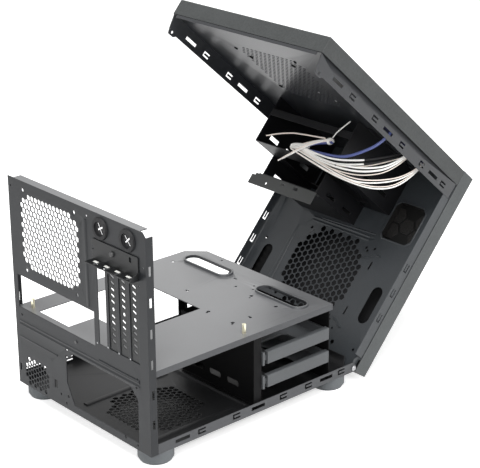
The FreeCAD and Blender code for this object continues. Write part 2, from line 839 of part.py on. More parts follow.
def hose_port(name, x, spin):
    """A rubber bush in the panel; its thin web is slit crosswise and the slits stand open."""
    piece = Piece(name)
    neck = size("port_radius") - 0.02
    lip = size("port_radius") + 3
    web = 0.4
    inner = neck - 2
    piece.turn((0, -web), (inner, -web), (inner, -3.2), (lip, -3.2), (lip, -1), (neck, -1),
               (neck, 0), (lip, 0), (lip - 1, 2.6), (inner, 2.6), (inner, web), (0, web))
    arm = inner - 1.5
    half = 0.9
    piece.cut("XY_Plane", -1, 1, rect(-arm, arm, -half, half), rect(-half, half, 1, arm),
              rect(-half, half, -arm, -1))
    piece.at(x, rear_y, port_z, OUT_REAR * FreeCAD.Rotation(Z_AXIS, spin))


def feet():
    radius = size("foot_radius")
    high = size("foot_height")
    for end, sign_y in (("front", -1), ("rear", 1)):
        for side, sign_x in (("right", -1), ("left", 1)):
            piece = Piece(f"foot_{end}_{side}")
            piece.turn((0, 0), (radius - 2.5, 0), (radius, 4), (radius, high), (0, high))
            inset = size("foot_inset")
            piece.at(sign_x * (half_width - inset), sign_y * (rear_y - inset - 2), 0)


def drive_cage():
    piece = Piece("drive_cage")
    high = floor_z + size("cage_height")
    post_high = tray_under
    post_end = cage_near + 16
    side = path(
        (cage_near, floor_z), (cage_far, floor_z), (cage_far, high),
        (post_end + size("cage_slope"), high), (post_end, post_high), (cage_near, post_high),
    )
    piece.pad("XZ_Plane", cage_rear - sheet, cage_rear, side)
    piece.pad("XZ_Plane", cage_front, cage_front + sheet, side)
    piece.pad("YZ_Plane", cage_far - sheet, cage_far, rect(cage_front, cage_rear, floor_z, high))
    piece.cut("YZ_Plane", cage_far - sheet - 1, cage_far + 1,
              chamfered(cage_front + 16, cage_rear - 16, floor_z + 12, high - 12, 6))
    piece.pad("YZ_Plane", cage_near - sheet, cage_near,
              rect(cage_rear - sheet, cage_rear + 11, floor_z, post_high))
    piece.pad("XY_Plane", floor_z, floor_z + sheet,
              rect(cage_near, cage_far - 4, cage_rear, cage_rear + 4),
              rect(cage_near, cage_far - 4, cage_front - 8, cage_front))
    piece.pad("XY_Plane", post_high - sheet, post_high,
              rect(cage_near, post_end, cage_rear, cage_rear + 8))
    depth = size("runner_depth")
    for level in drive_tray_levels():
        top = level - gap
        for low_y, high_y in ((cage_front + sheet, cage_front + sheet + depth),
                              (cage_rear - sheet - depth, cage_rear - sheet)):
            piece.pad("XY_Plane", top - sheet, top, rect(cage_near, cage_far - sheet, low_y, high_y))
    vents = []
    for index in range(3):
        x = cage_near + 40 + index * 34
        vents.append(chamfered(x, x + 22, floor_z + 14, floor_z + 22, 2))
    piece.cut("XZ_Plane", cage_front - 1, cage_rear + 1, *vents)


def drive_tray_levels():
    low = pan_z + size("lower_tray_lift")
    return (low, low + size("drive_tray_pitch"))


def drive_tray(name, level):
    piece = Piece(name)
    low_y = cage_front + sheet + gap
    high_y = cage_rear - sheet - gap
    wall = size("drive_tray_wall")
    floor = size("drive_tray_floor")
    near_x = cage_near + 4
    far_x = cage_far - sheet - 2
    high = level + size("drive_tray_height")
    piece.pad("XY_Plane", level, level + floor, rect(near_x, far_x, low_y, high_y))
    for low, top in ((low_y, low_y + wall), (high_y - wall, high_y)):
        side = path(
            (near_x, level + floor), (far_x, level + floor), (far_x, high - 7),
            (far_x - 8, high - 3), (near_x, high - 3),
        )
        piece.pad("XZ_Plane", low, top, side)
    # Front handle bar and the small latch lever beside it
    bar_end = high_y - 9
    piece.pad("YZ_Plane", near_x - 7, near_x, rect(low_y + 2, bar_end, level, high))
    piece.pad("YZ_Plane", near_x - 4, near_x, rect(bar_end, high_y - 4, level + 5, high - 5))
    piece.pad("YZ_Plane", near_x - 7, near_x, rect(high_y - 4, high_y - 1, level, high + 1))
    windows = []
    for index in range(3):
        x = near_x + 14 + index * 42
        windows.append(chamfered(x, x + 30, low_y + 32, high_y - 32, 5))
    piece.cut("XY_Plane", level - 1, level + floor + 1, *windows)
    piece.soften(1.2, lambda edge: along(edge, Y_AXIS) and abs(edge.CenterOfMass.x - float(near_x - 7)) < 0.01
                 and edge.Length > 50)


def tray_post():
    """An upright angle that carries the far edge of the motherboard tray."""
    piece = Piece("tray_post")
    x = tray_half - sheet - 9
    y = -104
    corner = path((x, y), (x + 9, y), (x + 9, y + 9), (x + 8, y + 9), (x + 8, y + sheet), (x, y + sheet))
    piece.pad("XY_Plane", floor_z, tray_under, corner)


def hinge_pins():
    radius = size("pivot_radius")
    for side, sign in (("right", -1), ("left", 1)):
        piece = Piece(f"hinge_pin_{side}")
        head = radius + size("pin_head")
        inner = 3.2
        piece.turn((0, -inner), (radius, -inner), (radius, 0), (head, 0), (head, 1.2),
                   (head - 1, 2), (0, 2))
        turn = FreeCAD.Rotation(Y_AXIS, 90 * sign)
        piece.at(sign * half_width, pivot_y, pivot_z, turn)


# Shell, drawn shut and then swung open

OPENED = FreeCAD.Placement(
    FreeCAD.Vector(0, 0, 0),
    FreeCAD.Rotation(X_AXIS, float(size("open_angle"))),
    FreeCAD.Vector(0, float(pivot_y), float(pivot_z)),
)


def front_chassis():
    piece = Piece("front_chassis")
    back = shell_front + sheet
    ear_clear = pivot_z + size("ear_radius") + 8
    high = shell_top - sheet
    outline = path(
        (-half_width + 5, shell_bottom), (half_width - 5, shell_bottom), (half_width - 5, shell_bottom + 1),
        (half_width - 1.3, shell_bottom + 1), (half_width - 1.3, ear_clear), (shell_outer, ear_clear),
        (shell_outer, high), (-shell_outer, high), (-shell_outer, ear_clear),
        (-half_width + 1.3, ear_clear), (-half_width + 1.3, shell_bottom + 1),
        (-half_width + 5, shell_bottom + 1),
    )
    piece.pad("XZ_Plane", shell_front, back, outline)
    lug_inner = half_width - sheet - gap - sheet
    lug_outer = half_width - sheet - gap
    for sign in (-1, 1):
        low, top = sorted((sign * lug_inner, sign * lug_outer), key=float)
        lug = path((back - 0.2, shell_bottom + 1), (pivot_y, shell_bottom - 2), (pivot_y + 5, pivot_z),
                   (pivot_y + 5, ear_clear - 2), (back - 0.2, ear_clear + 8))
        piece.pad("YZ_Plane", low, top, lug)
        bore = ring(pivot_y, pivot_z, size("pivot_radius") + size("pivot_fit"))
        piece.cut("YZ_Plane", low - 0.6, top + 0.6, bore)
        low, top = sorted((sign * shell_inner, sign * shell_outer), key=float)
        piece.pad("YZ_Plane", low, top, rect(back, front_flange_end, ear_clear + 3, rail_bottom))
    # The lower lip meets the pan's front flange when the shell is fully open
    angle = math.radians(float(size("open_angle")))
    drop = float(pivot_z - shell_bottom)
    reach = (-float(size("pivot_inset")) - float(gap) - drop * math.sin(angle)) / math.cos(angle)
    lip_half = half_width - 22
    piece.pad("XY_Plane", shell_bottom, shell_bottom + sheet,
              rect(-lip_half, lip_half, back, pivot_y + reach))
    through = (shell_front - 1, back + 1)
    slot_z = (intake_z - 46, intake_z + 8)
    edge = half_width - 19.5
    piece.cut("XZ_Plane", *through, oval(-edge, -edge + 18, *slot_z), oval(edge - 18, edge, *slot_z))
    # The mouths of the two drive bays
    piece.cut("XZ_Plane", *through,
              rect(optical_left + 2, optical_right - 2, optical_low + 2, optical_top - 2),
              rect(floppy_left + 3, floppy_right - 3, floppy_low + 3, optical_low - 2))
    rim = 2
    low_x, high_x, low_z, high_z = honeycomb_opening()
    piece.pad("XZ_Plane", back, back + 0.8,
              chamfered(low_x - rim, high_x + rim, low_z - rim, high_z + rim, 7))
    piece.cut("XZ_Plane", shell_front - 1, back + 2, chamfered(low_x, high_x, low_z, high_z, 6.5))
    small = half_width - 60
    marks = [rect(-small, -small + 3, z - 6, z + 6) for z in (intake_z - 38, intake_z + 31)]
    half_fan = size("fan_hole_spacing") / 2
    marks += [ring(u * half_fan, intake_z + v * half_fan, 2.2) for u in (-1, 1) for v in (-1, 1)]
    piece.cut("XZ_Plane", *through, *marks)
    hooks = [hook_upright(front_flange_end - 7.5, intake_z + 43 - 37.4 * step) for step in range(3)]
    piece.cut("YZ_Plane", -shell_outer - 1, shell_outer + 1, *hooks)
    # Beads between the openings
    for x in (half_width - 57,):
        bead = path((x - 3, back), (x + 3, back), (x + 1.6, back + 1.2), (x - 1.6, back + 1.2))
        piece.pad("XY_Plane", intake_z - 37, intake_z + 50, bead)
    for z in (intake_z + 63, intake_z + 68):
        bead = path((back, z - 1.6), (back + 1.2, z - 0.7), (back + 1.2, z + 0.7), (back, z + 1.6))
        piece.pad("YZ_Plane", -50, 58, bead)
    half = size("intake_half")
    cells = hex_cells("XZ_Plane", (0, intake_z), half, half, through[0], through[1],
                      size("intake_pitch"), 0.5 * half)
    perforate(piece, cells)


def honeycomb_opening():
    """The large opening beside the drive cages: left, right, low and high."""
    high_x = optical_left - sheet - size("honeycomb_gap")
    low_z = intake_z + size("honeycomb_lift")
    return (high_x - size("honeycomb_width"), high_x, low_z, low_z + size("honeycomb_height"))


def hook_upright(middle_u, middle_v):
    """The hook slot turned to stand in an upright flange."""
    left = middle_u - 3.5
    right = middle_u + 3.5
    low = middle_v - 6
    high = middle_v + 6
    arm = 2.2
    return path(
        (left, low), (right, low), (right, high), (right - arm, high),
        (right - arm, low + arm), (left + arm, low + arm), (left + arm, high), (left, high),
    )


def top_chassis():
    piece = Piece("top_chassis")
    low = shell_top - sheet
    piece.pad("XY_Plane", low, shell_top, rect(-shell_outer, shell_outer, shell_front, shell_rear))
    front = front_flange_end - size("front_flange_depth") + 1.5
    for sign in (-1, 1):
        start, end = sorted((sign * shell_inner, sign * shell_outer), key=float)
        rail = path(
            (front, rail_bottom + 0.3), (shell_rear - 22, rail_bottom + 0.3),
            (shell_rear - 18, rail_bottom - 3), (shell_rear - 8, rail_bottom - 3),
            (shell_rear - 5, rail_bottom + 5), (shell_rear - 1, low), (front, low),
        )
        piece.pad("YZ_Plane", start, end, rail)
    piece.pad("XZ_Plane", shell_rear - sheet, shell_rear,
              rect(-half_width + 6, half_width - 6, low - 4, low))
    row = low - 12.5
    holes = [hook(measure(y), row) for y in hook_places[1:]]
    holes += [rect(y - 11, y + 11, row - 2.2, row + 2.2) for y in slot_places]
    holes.append(ring(shell_rear - 13, rail_bottom + 1.5, 2))
    piece.cut("YZ_Plane", -shell_outer - 1, shell_outer + 1, *holes)
    fan_y = shell_rear - size("top_fan_rear")
    half_fan = size("fan_hole_spacing") / 2
    rings = [ring(u * half_fan, fan_y + v * half_fan, 2.2) for u in (-1, 1) for v in (-1, 1)]
    piece.cut("XY_Plane", low - 1, shell_top + 1, *rings)
    perforate(piece, brick_slots((0, float(fan_y)), 60, 60, low - 1, shell_top + 1))


def top_cover():
    """A folded cover with a deep side band, open below."""
    piece = Piece("top_cover")
    wall = size("cover_wall")
    front = shell_front + 0.4
    piece.pad("XY_Plane", shell_top, cover_top, rect(-cover_half, cover_half, front, shell_rear))
    piece.cut("XY_Plane", shell_top - 1, cover_top - wall,
              rect(-cover_half + wall, cover_half - wall, front + wall, shell_rear - wall))
    slots = []
    for index in range(9):
        y = shell_rear - size("top_fan_rear") + (index - 4) * 12
        slots.append(rect(-50, 50, y - 2.5, y + 2.5))
    piece.cut("XY_Plane", cover_top - wall - 1, cover_top + 1, *slots)
    piece.soften(1.6, lambda edge: abs(edge.CenterOfMass.z - float(cover_top)) < 0.01
                 and (abs(abs(edge.CenterOfMass.x) - float(cover_half)) < 0.01
                      or near(edge, y=shell_rear)))


def front_fascia():
    """The moulded front: a deep hollow tray with bay openings and an intake frame."""
    piece = Piece("front_fascia")
    wall = size("cover_wall")
    piece.pad("XZ_Plane", fascia_front, shell_front,
              rect(-cover_half, cover_half, shell_bottom, cover_top))
    side = cover_half - size("fascia_side_wall")
    piece.cut("XZ_Plane", fascia_front + wall, shell_front + 1,
              rect(-side, side, shell_bottom + wall, cover_top - wall))
    # Notches in the floor leave room for the pan's pivot ears
    notches = [rect(-side, -side + 2, shell_front - 3, shell_front + 1),
               rect(side - 2, side, shell_front - 3, shell_front + 1)]
    piece.cut("XY_Plane", shell_bottom - 1, shell_bottom + wall + 1, *notches)
    intake = 66
    piece.cut("XZ_Plane", fascia_front - 1, fascia_front + wall + 1,
              rect(optical_left, optical_right, optical_low + sheet, optical_top - sheet),
              rect(floppy_left + sheet, floppy_right - sheet, floppy_low + sheet, optical_low - sheet),
              chamfered(-intake, intake, intake_z - intake, intake_z + intake, 10),
              ring(button_x, power_button_z, size("button_radius") + gap),
              ring(button_x, reset_button_z, size("button_radius") / 2 + gap))
    # Air slots in the side away from the buttons
    vents = []
    for index in range(9):
        z = intake_z - 48 + index * size("side_vent_pitch")
        vents.append(rect(fascia_front + 6, shell_front - 5, z - 2, z + 2))
    piece.cut("YZ_Plane", side - 1, cover_half + 1, *vents)
    piece.soften(2.2, lambda edge: abs(edge.CenterOfMass.y - float(fascia_front)) < 0.01
                 and edge.Length > 200)


def intake_grille():
    """Slatted insert in the fascia's lower opening, with the dust filter behind its slats."""
    piece = Piece("intake_grille")
    half = 65.7
    front = fascia_front + 0.4
    back = front + size("cover_wall")
    piece.pad("XZ_Plane", front, back,
              chamfered(-half, half, intake_z - half, intake_z + half, 9.9))
    slots = []
    for index in range(8):
        z = intake_z + (index - 3.5) * 14.5
        slots.append(rect(-54, 54, z - 4, z + 4))
    piece.cut("XZ_Plane", front - 1, back - size("filter_sheet"), *slots)


def honeycomb_insert():
    """A shallow moulded box behind the chassis' large opening, with raised hexagons inside."""
    piece = Piece("honeycomb_insert")
    low_x, high_x, low_z, high_z = honeycomb_opening()
    wall = 1.5
    edge = 0.6
    floor = shell_front - size("honeycomb_depth")
    piece.pad("XZ_Plane", floor - wall, floor,
              rect(low_x - edge - wall, high_x + edge + wall, low_z - edge - wall, high_z + edge + wall))
    piece.pad("XZ_Plane", floor, shell_front,
              rect(low_x - edge - wall, high_x + edge + wall, low_z - edge - wall, high_z + edge + wall),
              rect(low_x - edge, high_x + edge, low_z - edge, high_z + edge))
    radius = size("honeycomb_cell").number
    step_u = radius * 1.5 + 2.4
    step_v = radius * math.sqrt(3) + 2.6
    middle_u = float(low_x + high_x) / 2
    middle_v = float(low_z + high_z) / 2
    for column, shifts in ((-1, (-0.5, 0.5)), (0, (0,)), (1, (-0.5, 0.5))):
        for shift in shifts:
            corners = hexagon(middle_u + column * step_u, middle_v + shift * step_v, radius * 0.97, 0)
            corners = [(min(max(u, float(low_x)), float(high_x)), min(max(v, float(low_z)), float(high_z)))
                       for u, v in corners]
            piece.pad("XZ_Plane", floor, floor + 1.2, path(*corners))


def bay_cover(name, low_x, high_x, low_z, high_z):
    piece = Piece(name)
    front = fascia_front + 0.3
    piece.pad("XZ_Plane", front, front + size("cover_wall"),
              rect(low_x + gap, high_x - gap, low_z + gap, high_z - gap))
    piece.soften(0.8, lambda edge: abs(edge.CenterOfMass.y - float(front)) < 0.01)


def optical_cage():
    """Sheet cage for one wide drive, hung from the top chassis."""
    piece = Piece("optical_cage")
    front = shell_front + sheet
    under = shell_top - sheet
    side = rect(front, optical_rear, optical_low, under)
    for low, high in ((optical_left - sheet, optical_left), (optical_right, optical_right + sheet)):
        piece.pad("YZ_Plane", low, high, side)
    for low, high in ((optical_left - 10, optical_left - sheet), (optical_right + sheet, optical_right + 10)):
        piece.pad("XY_Plane", under - sheet, under, rect(low, high, front + 20, optical_rear - 20))
    piece.pad("XY_Plane", optical_low, optical_low + sheet,
              rect(optical_left, optical_right, front, optical_rear))
    piece.pad("XZ_Plane", optical_rear - sheet, optical_rear,
              rect(optical_left, optical_right, optical_top - 3, optical_top + 7))
    slots = []
    for index in range(3):
        y = front + 26 + index * 38
        slots.append(rect(y, y + 20, optical_low + 14, optical_low + 20))
    piece.cut("YZ_Plane", optical_left - 2, optical_right + 2, *slots)
    piece.cut("XY_Plane", optical_low - 1, optical_low + 2,
              chamfered(optical_left + 20, optical_right - 20, front + 20, optical_rear - 34, 8))


def floppy_cage():
    """Sheet cage for one small drive under the wide one."""
    piece = Piece("floppy_cage")
    front = shell_front + sheet
    for low, high in ((floppy_left, floppy_left + sheet), (floppy_right - sheet, floppy_right)):
        side = path((front, floppy_low), (floppy_rear, floppy_low), (floppy_rear, optical_low),
                    (front, optical_low))
        piece.pad("YZ_Plane", low, high, side)
    piece.pad("XY_Plane", floppy_low, floppy_low + sheet,
              rect(floppy_left + sheet, floppy_right - sheet, front, floppy_rear))
    slots = []
    for index in range(2):
        y = front + 18 + index * 40
        slots.append(rect(y, y + 20, floppy_low + 6, floppy_low + 11))
    piece.cut("YZ_Plane", floppy_left - 1, floppy_right + 1, *slots)


def bay_plate():
    """The grey fixing plate across the back of the small cage, with its tabs and notches."""
    piece = Piece("bay_plate")
    low = floppy_low - size("bay_plate_height")
    high = floppy_low
    back = floppy_rear
    left = floppy_left - 1
    right = floppy_right + 18
    outline = path(
        (left, low), (right, low), (right, high - 4), (right - 6, high - 4), (right - 6, high - 1),
        (right - 12, high - 1), (right - 12, high), (left, high),
    )
    piece.pad("XZ_Plane", back - sheet, back, outline)
    piece.pad("XY_Plane", high - sheet, high,
              rect(floppy_left + 2, floppy_right - 2, back - 12, back - sheet))
    middle = size("floppy_shift")
    piece.cut("XZ_Plane", back - 2, back + 1,
              rect(middle - 20, middle - 12, high - 7, high - 3),
              rect(middle + 6, middle + 12, high - 7, high - 3),
              ring(middle + 38, low + 7, 1.8))


def button(name, radius, z):
    piece = Piece(name)
    stem = radius * 0.45
    front = fascia_front - 0.6
    deep = size("cover_wall") + 3
    piece.turn((0, -deep), (stem, -deep), (stem, -deep + 1.2), (radius, -deep + 1.2), (radius, 0.2),
               (radius - 0.8, 0.8), (0, 1))
    piece.at(button_x, front, z, OUT_FRONT)


def button_board():
    """The small switch board behind the buttons, on the chassis' front."""
    piece = Piece("button_board")
    back = shell_front
    front = fascia_front - 0.6 + size("cover_wall") + 3 + size("button_travel") + gap
    piece.pad("XZ_Plane", back - 3, back,
              rect(button_x - 12, button_x + 12, reset_button_z - 4, power_button_z + 8))
    switches = [rect(button_x - 3, button_x + 3, z - 3, z + 3) for z in (power_button_z, reset_button_z)]
    piece.pad("XZ_Plane", front, back - 3, *switches)


def port_board():
    """The strip of front sockets under the top sheet, behind the near rail, where the leads start."""
    piece = Piece("port_board")
    under = shell_top - sheet
    low_x = -half_width + 7
    piece.pad("XY_Plane", under - size("port_board_drop"), under,
              rect(low_x, low_x + 16, shell_front + 56, shell_front + 156))


LEAD_RADIUS = 1.6
LEAD_ROUTES = {
    "lead_upper": [(5, -25.3, 242.4), (-33, -23.7, 238), (-72, -24.2, 241), (-112, -42, 264),
                   (-119, -76, 297)],
    "lead_middle": [(7, -28.7, 240.4), (-31, -22.7, 234), (-71, -23.7, 234.4), (-101.5, -37, 244),
                    (-123, -58, 267), (-124, -72, 297)],
    "lead_lower": [(15, -27.2, 238.4), (-37, -21.7, 230), (-95.5, -26.4, 222.4), (-121, -47.5, 237),
                   (-129, -86, 268), (-125, -104, 297)],
    "lead_lowest": [(23.5, -27.8, 236.5), (-29, -21.2, 225.4), (-87.5, -23.4, 217), (-124, -51.5, 225.5),
                    (-130, -88, 257), (-123, -108, 297)],
    "lead_blue": [(1, -30.7, 242.2), (-29, -27.1, 242.4), (-70, -24.9, 245.4), (-96.5, -25, 262.5),
                  (-115, -25.5, 281), (-118, -27, 297)],
    "lead_loop": [(-29, -20.7, 262), (3, -26.2, 261), (43, -25.7, 256), (76, -28.2, 243)],
    "lead_stub": [(-27, -20.9, 257), (-7, -20.2, 245), (12, -21.7, 227), (32, -26.7, 215)],
}
THICK_LEAD = {"lead_blue": 2}
LEAD_KNOT = ((29, -31.7, 241), (1, -28.7, 246), 5.2)
LEAD_BUNDLE = [(8, -29.5, 245.4), (-7, -26.7, 252), (-23, -25.7, 258), (-39, -25.7, 263)]
BUNDLE_RADIUS = 3.4
TIE_TAIL = [(-35.5, -25.7, 267), (-38.5, -24.7, 276.5), (-44, -25.2, 286.5), (-48, -26.7, 296)]


def tube(name, points, radius):
    """A cord: straight runs with tangent arcs between, round in section, with flat ends."""
    points = [FreeCAD.Vector(*point) for point in points]
    runs = [b - a for a, b in zip(points, points[1:])]
    bends = []
    for before, after in zip(runs, runs[1:]):
        half_turn = before.getAngle(after) / 2
        bends.append(0.45 * min(before.Length, after.Length) / math.tan(half_turn))
    print(name, "bend radii", [round(bend, 1) for bend in bends])
    edges = []
    start = points[0]
    for point, before, after, bend in zip(points[1:], runs, runs[1:], bends):
        cut = 0.45 * min(before.Length, after.Length)
        enter = point - before.normalize() * cut
        leave = point + FreeCAD.Vector(after).normalize() * cut
        chord = (enter + leave) / 2 - point
        away = chord.Length
        middle = point + chord.normalize() * (math.hypot(bend, cut) - bend) if away else point
        edges.append(Part.makeLine(start, enter))
        edges.append(Part.Arc(enter, middle, leave).toShape())
        start = leave
    edges.append(Part.makeLine(start, points[-1]))
    spine = Part.Wire(edges)
    ends = Part.Wire(Part.makeCircle(radius, points[0], points[1] - points[0]))
    solid = spine.makePipeShell([ends], True, False)
    expected = math.pi * radius ** 2 * spine.Length
    if abs(solid.Volume - expected) > 0.02 * expected:
        raise RuntimeError(f"{name} has the wrong volume")
    cord = doc.addObject("Part::Feature", name)
    cord.Shape = solid
    cord.Label = name
    finished[name] = cord


def leads():
    for name, points in LEAD_ROUTES.items():
        tube(name, points, THICK_LEAD.get(name, LEAD_RADIUS))
    start, end, radius = LEAD_KNOT
    tube("lead_bundle", LEAD_BUNDLE, BUNDLE_RADIUS)
    tube("tie_tail", TIE_TAIL, 0.8)
    axis = FreeCAD.Vector(*end) - FreeCAD.Vector(*start)
    knot = Piece("lead_knot")
    reach = axis.Length
    knot.turn((0, 0), (radius - 2, 0), (radius, 3), (radius, reach - 3), (radius - 2, reach), (0, reach))
    knot.at(*start, FreeCAD.Rotation(Z_AXIS, axis))
    tie = Piece("cable_tie")
    band = BUNDLE_RADIUS + 0.02
    tie.turn((band, -1.8), (band + 1.2, -1.8), (band + 1.2, 1.8), (band, 1.8))
    middle = (FreeCAD.Vector(*LEAD_BUNDLE[-2]) + FreeCAD.Vector(*LEAD_BUNDLE[-1])) / 2
    lay = FreeCAD.Vector(*LEAD_BUNDLE[-1]) - FreeCAD.Vector(*LEAD_BUNDLE[-2])
    tie.at(*(middle + lay * 0.2), FreeCAD.Rotation(Z_AXIS, lay))


def build():
    bottom_pan()
    rear_panel()
    motherboard_tray()
    standoffs()
    for index in (1, 2, 3):
        slot_cover(index)
    slot_retainer()
    retainer_screw()
    for name, x, spin in zip(("hose_port_inner", "hose_port_outer"), port_places(), (30, 42)):
        hose_port(name, x, spin)
    feet()
    drive_cage()
    for name, level in zip(("drive_tray_lower", "drive_tray_upper"), drive_tray_levels()):
        drive_tray(name, level)
    tray_post()
    hinge_pins()
    first_of_shell = len(finished)
    front_chassis()
    top_chassis()
    top_cover()
    front_fascia()
    intake_grille()
    honeycomb_insert()
    bay_cover("optical_bay_cover", optical_left, optical_right, optical_low + sheet, optical_top - sheet)
    bay_cover("small_bay_cover", floppy_left + sheet, floppy_right - sheet,
              floppy_low + sheet, optical_low - sheet)
    optical_cage()
    floppy_cage()
    bay_plate()
    button("power_button", size("button_radius"), power_button_z)
    button("reset_button", size("button_radius") / 2, reset_button_z)
    button_board()
    port_board()
    leads()
    doc.recompute()
    for name in list(finished)[first_of_shell:]:
        thing = finished[name]
        thing.Placement = OPENED.multiply(thing.Placement)
    doc.recompute()


def check():
    for thing in doc.Objects:
        if "Invalid" in thing.State or "Error" in thing.State:
            raise RuntimeError(f"{thing.Label} failed: {thing.State}")
        if thing.TypeId == "PartDesign::Pocket":
            if thing.Shape.Volume > thing.BaseFeature.Shape.Volume - 0.01:
                raise RuntimeError(f"{thing.Label} cuts nothing")
    for name, thing in finished.items():
        if thing.Shape.isNull() or not thing.Shape.isValid():
            raise RuntimeError(f"{name} has no valid shape")


build()
check()
os.makedirs("parts", exist_ok=True)
for name, thing in finished.items():
    thing.Shape.exportStep(f"parts/{name}.step")
    print(name, len(thing.Shape.Solids), round(thing.Shape.Volume))
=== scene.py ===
import bpy
import bmesh
import math
from mathutils import Matrix, Vector


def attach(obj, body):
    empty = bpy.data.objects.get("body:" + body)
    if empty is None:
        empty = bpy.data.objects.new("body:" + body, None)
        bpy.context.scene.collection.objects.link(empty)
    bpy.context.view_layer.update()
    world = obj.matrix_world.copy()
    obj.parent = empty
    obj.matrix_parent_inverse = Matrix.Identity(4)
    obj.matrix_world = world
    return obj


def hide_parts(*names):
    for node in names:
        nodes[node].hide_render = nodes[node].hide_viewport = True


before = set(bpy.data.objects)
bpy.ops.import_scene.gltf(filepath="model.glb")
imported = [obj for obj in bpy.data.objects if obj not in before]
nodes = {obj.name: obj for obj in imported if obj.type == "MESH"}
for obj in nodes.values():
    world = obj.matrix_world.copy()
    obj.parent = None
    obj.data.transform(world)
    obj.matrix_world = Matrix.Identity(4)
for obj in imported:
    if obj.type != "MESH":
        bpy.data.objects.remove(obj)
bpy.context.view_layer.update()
print("case frame loaded:", len(nodes), "nodes")

scene = bpy.context.scene
mm = 0.001  # the case is described in millimetres, the camera and the lamps in metres

# the shell is drawn shut in its own sizes and swung open about the pivot pins
shellSwing = {"degrees": 41.5, "pivotY": -168.5, "pivotZ": 22.5}


def swungOpen():
    pivot = Vector((0, shellSwing["pivotY"] * mm, shellSwing["pivotZ"] * mm))
    turn = Matrix.Rotation(math.radians(shellSwing["degrees"]), 4, "X")
    return Matrix.Translation(pivot) @ turn @ Matrix.Translation(-pivot)


shellOpen = swungOpen()
standing = {"base": Matrix.Identity(4), "shell": shellOpen}

photoView = {
    "place": (-1.39898, 1.15153, 0.91446),
    "azimuth": 228.281,
    "elevation": 20.722,
    "roll": -0.286,
    "lens": 116.695,
    "sensor": 36,
    "shift": (-0.0032, -0.0241),
    "sees": 20,  # metres
}


def placeCamera():
    az = math.radians(photoView["azimuth"])
    el = math.radians(photoView["elevation"])
    roll = math.radians(photoView["roll"])
    back = Vector((math.sin(az) * math.cos(el), -math.cos(az) * math.cos(el), math.sin(el)))
    right = (-back).cross(Vector((0, 0, 1))).normalized()
    up = right.cross(-back)
    tiltedRight = right * math.cos(roll) + up * math.sin(roll)
    tiltedUp = up * math.cos(roll) - right * math.sin(roll)
    camData = bpy.data.cameras.new("photoCamera")
    camData.lens = photoView["lens"]
    camData.sensor_width = photoView["sensor"]
    camData.shift_x, camData.shift_y = photoView["shift"]
    camData.clip_end = photoView["sees"]
    cam = bpy.data.objects.new("photoCamera", camData)
    axes = Matrix((tiltedRight, tiltedUp, back)).transposed()
    cam.matrix_world = Matrix.Translation(photoView["place"]) @ axes.to_4x4()
    scene.collection.objects.link(cam)
    scene.camera = cam


placeCamera()
print("camera placed")

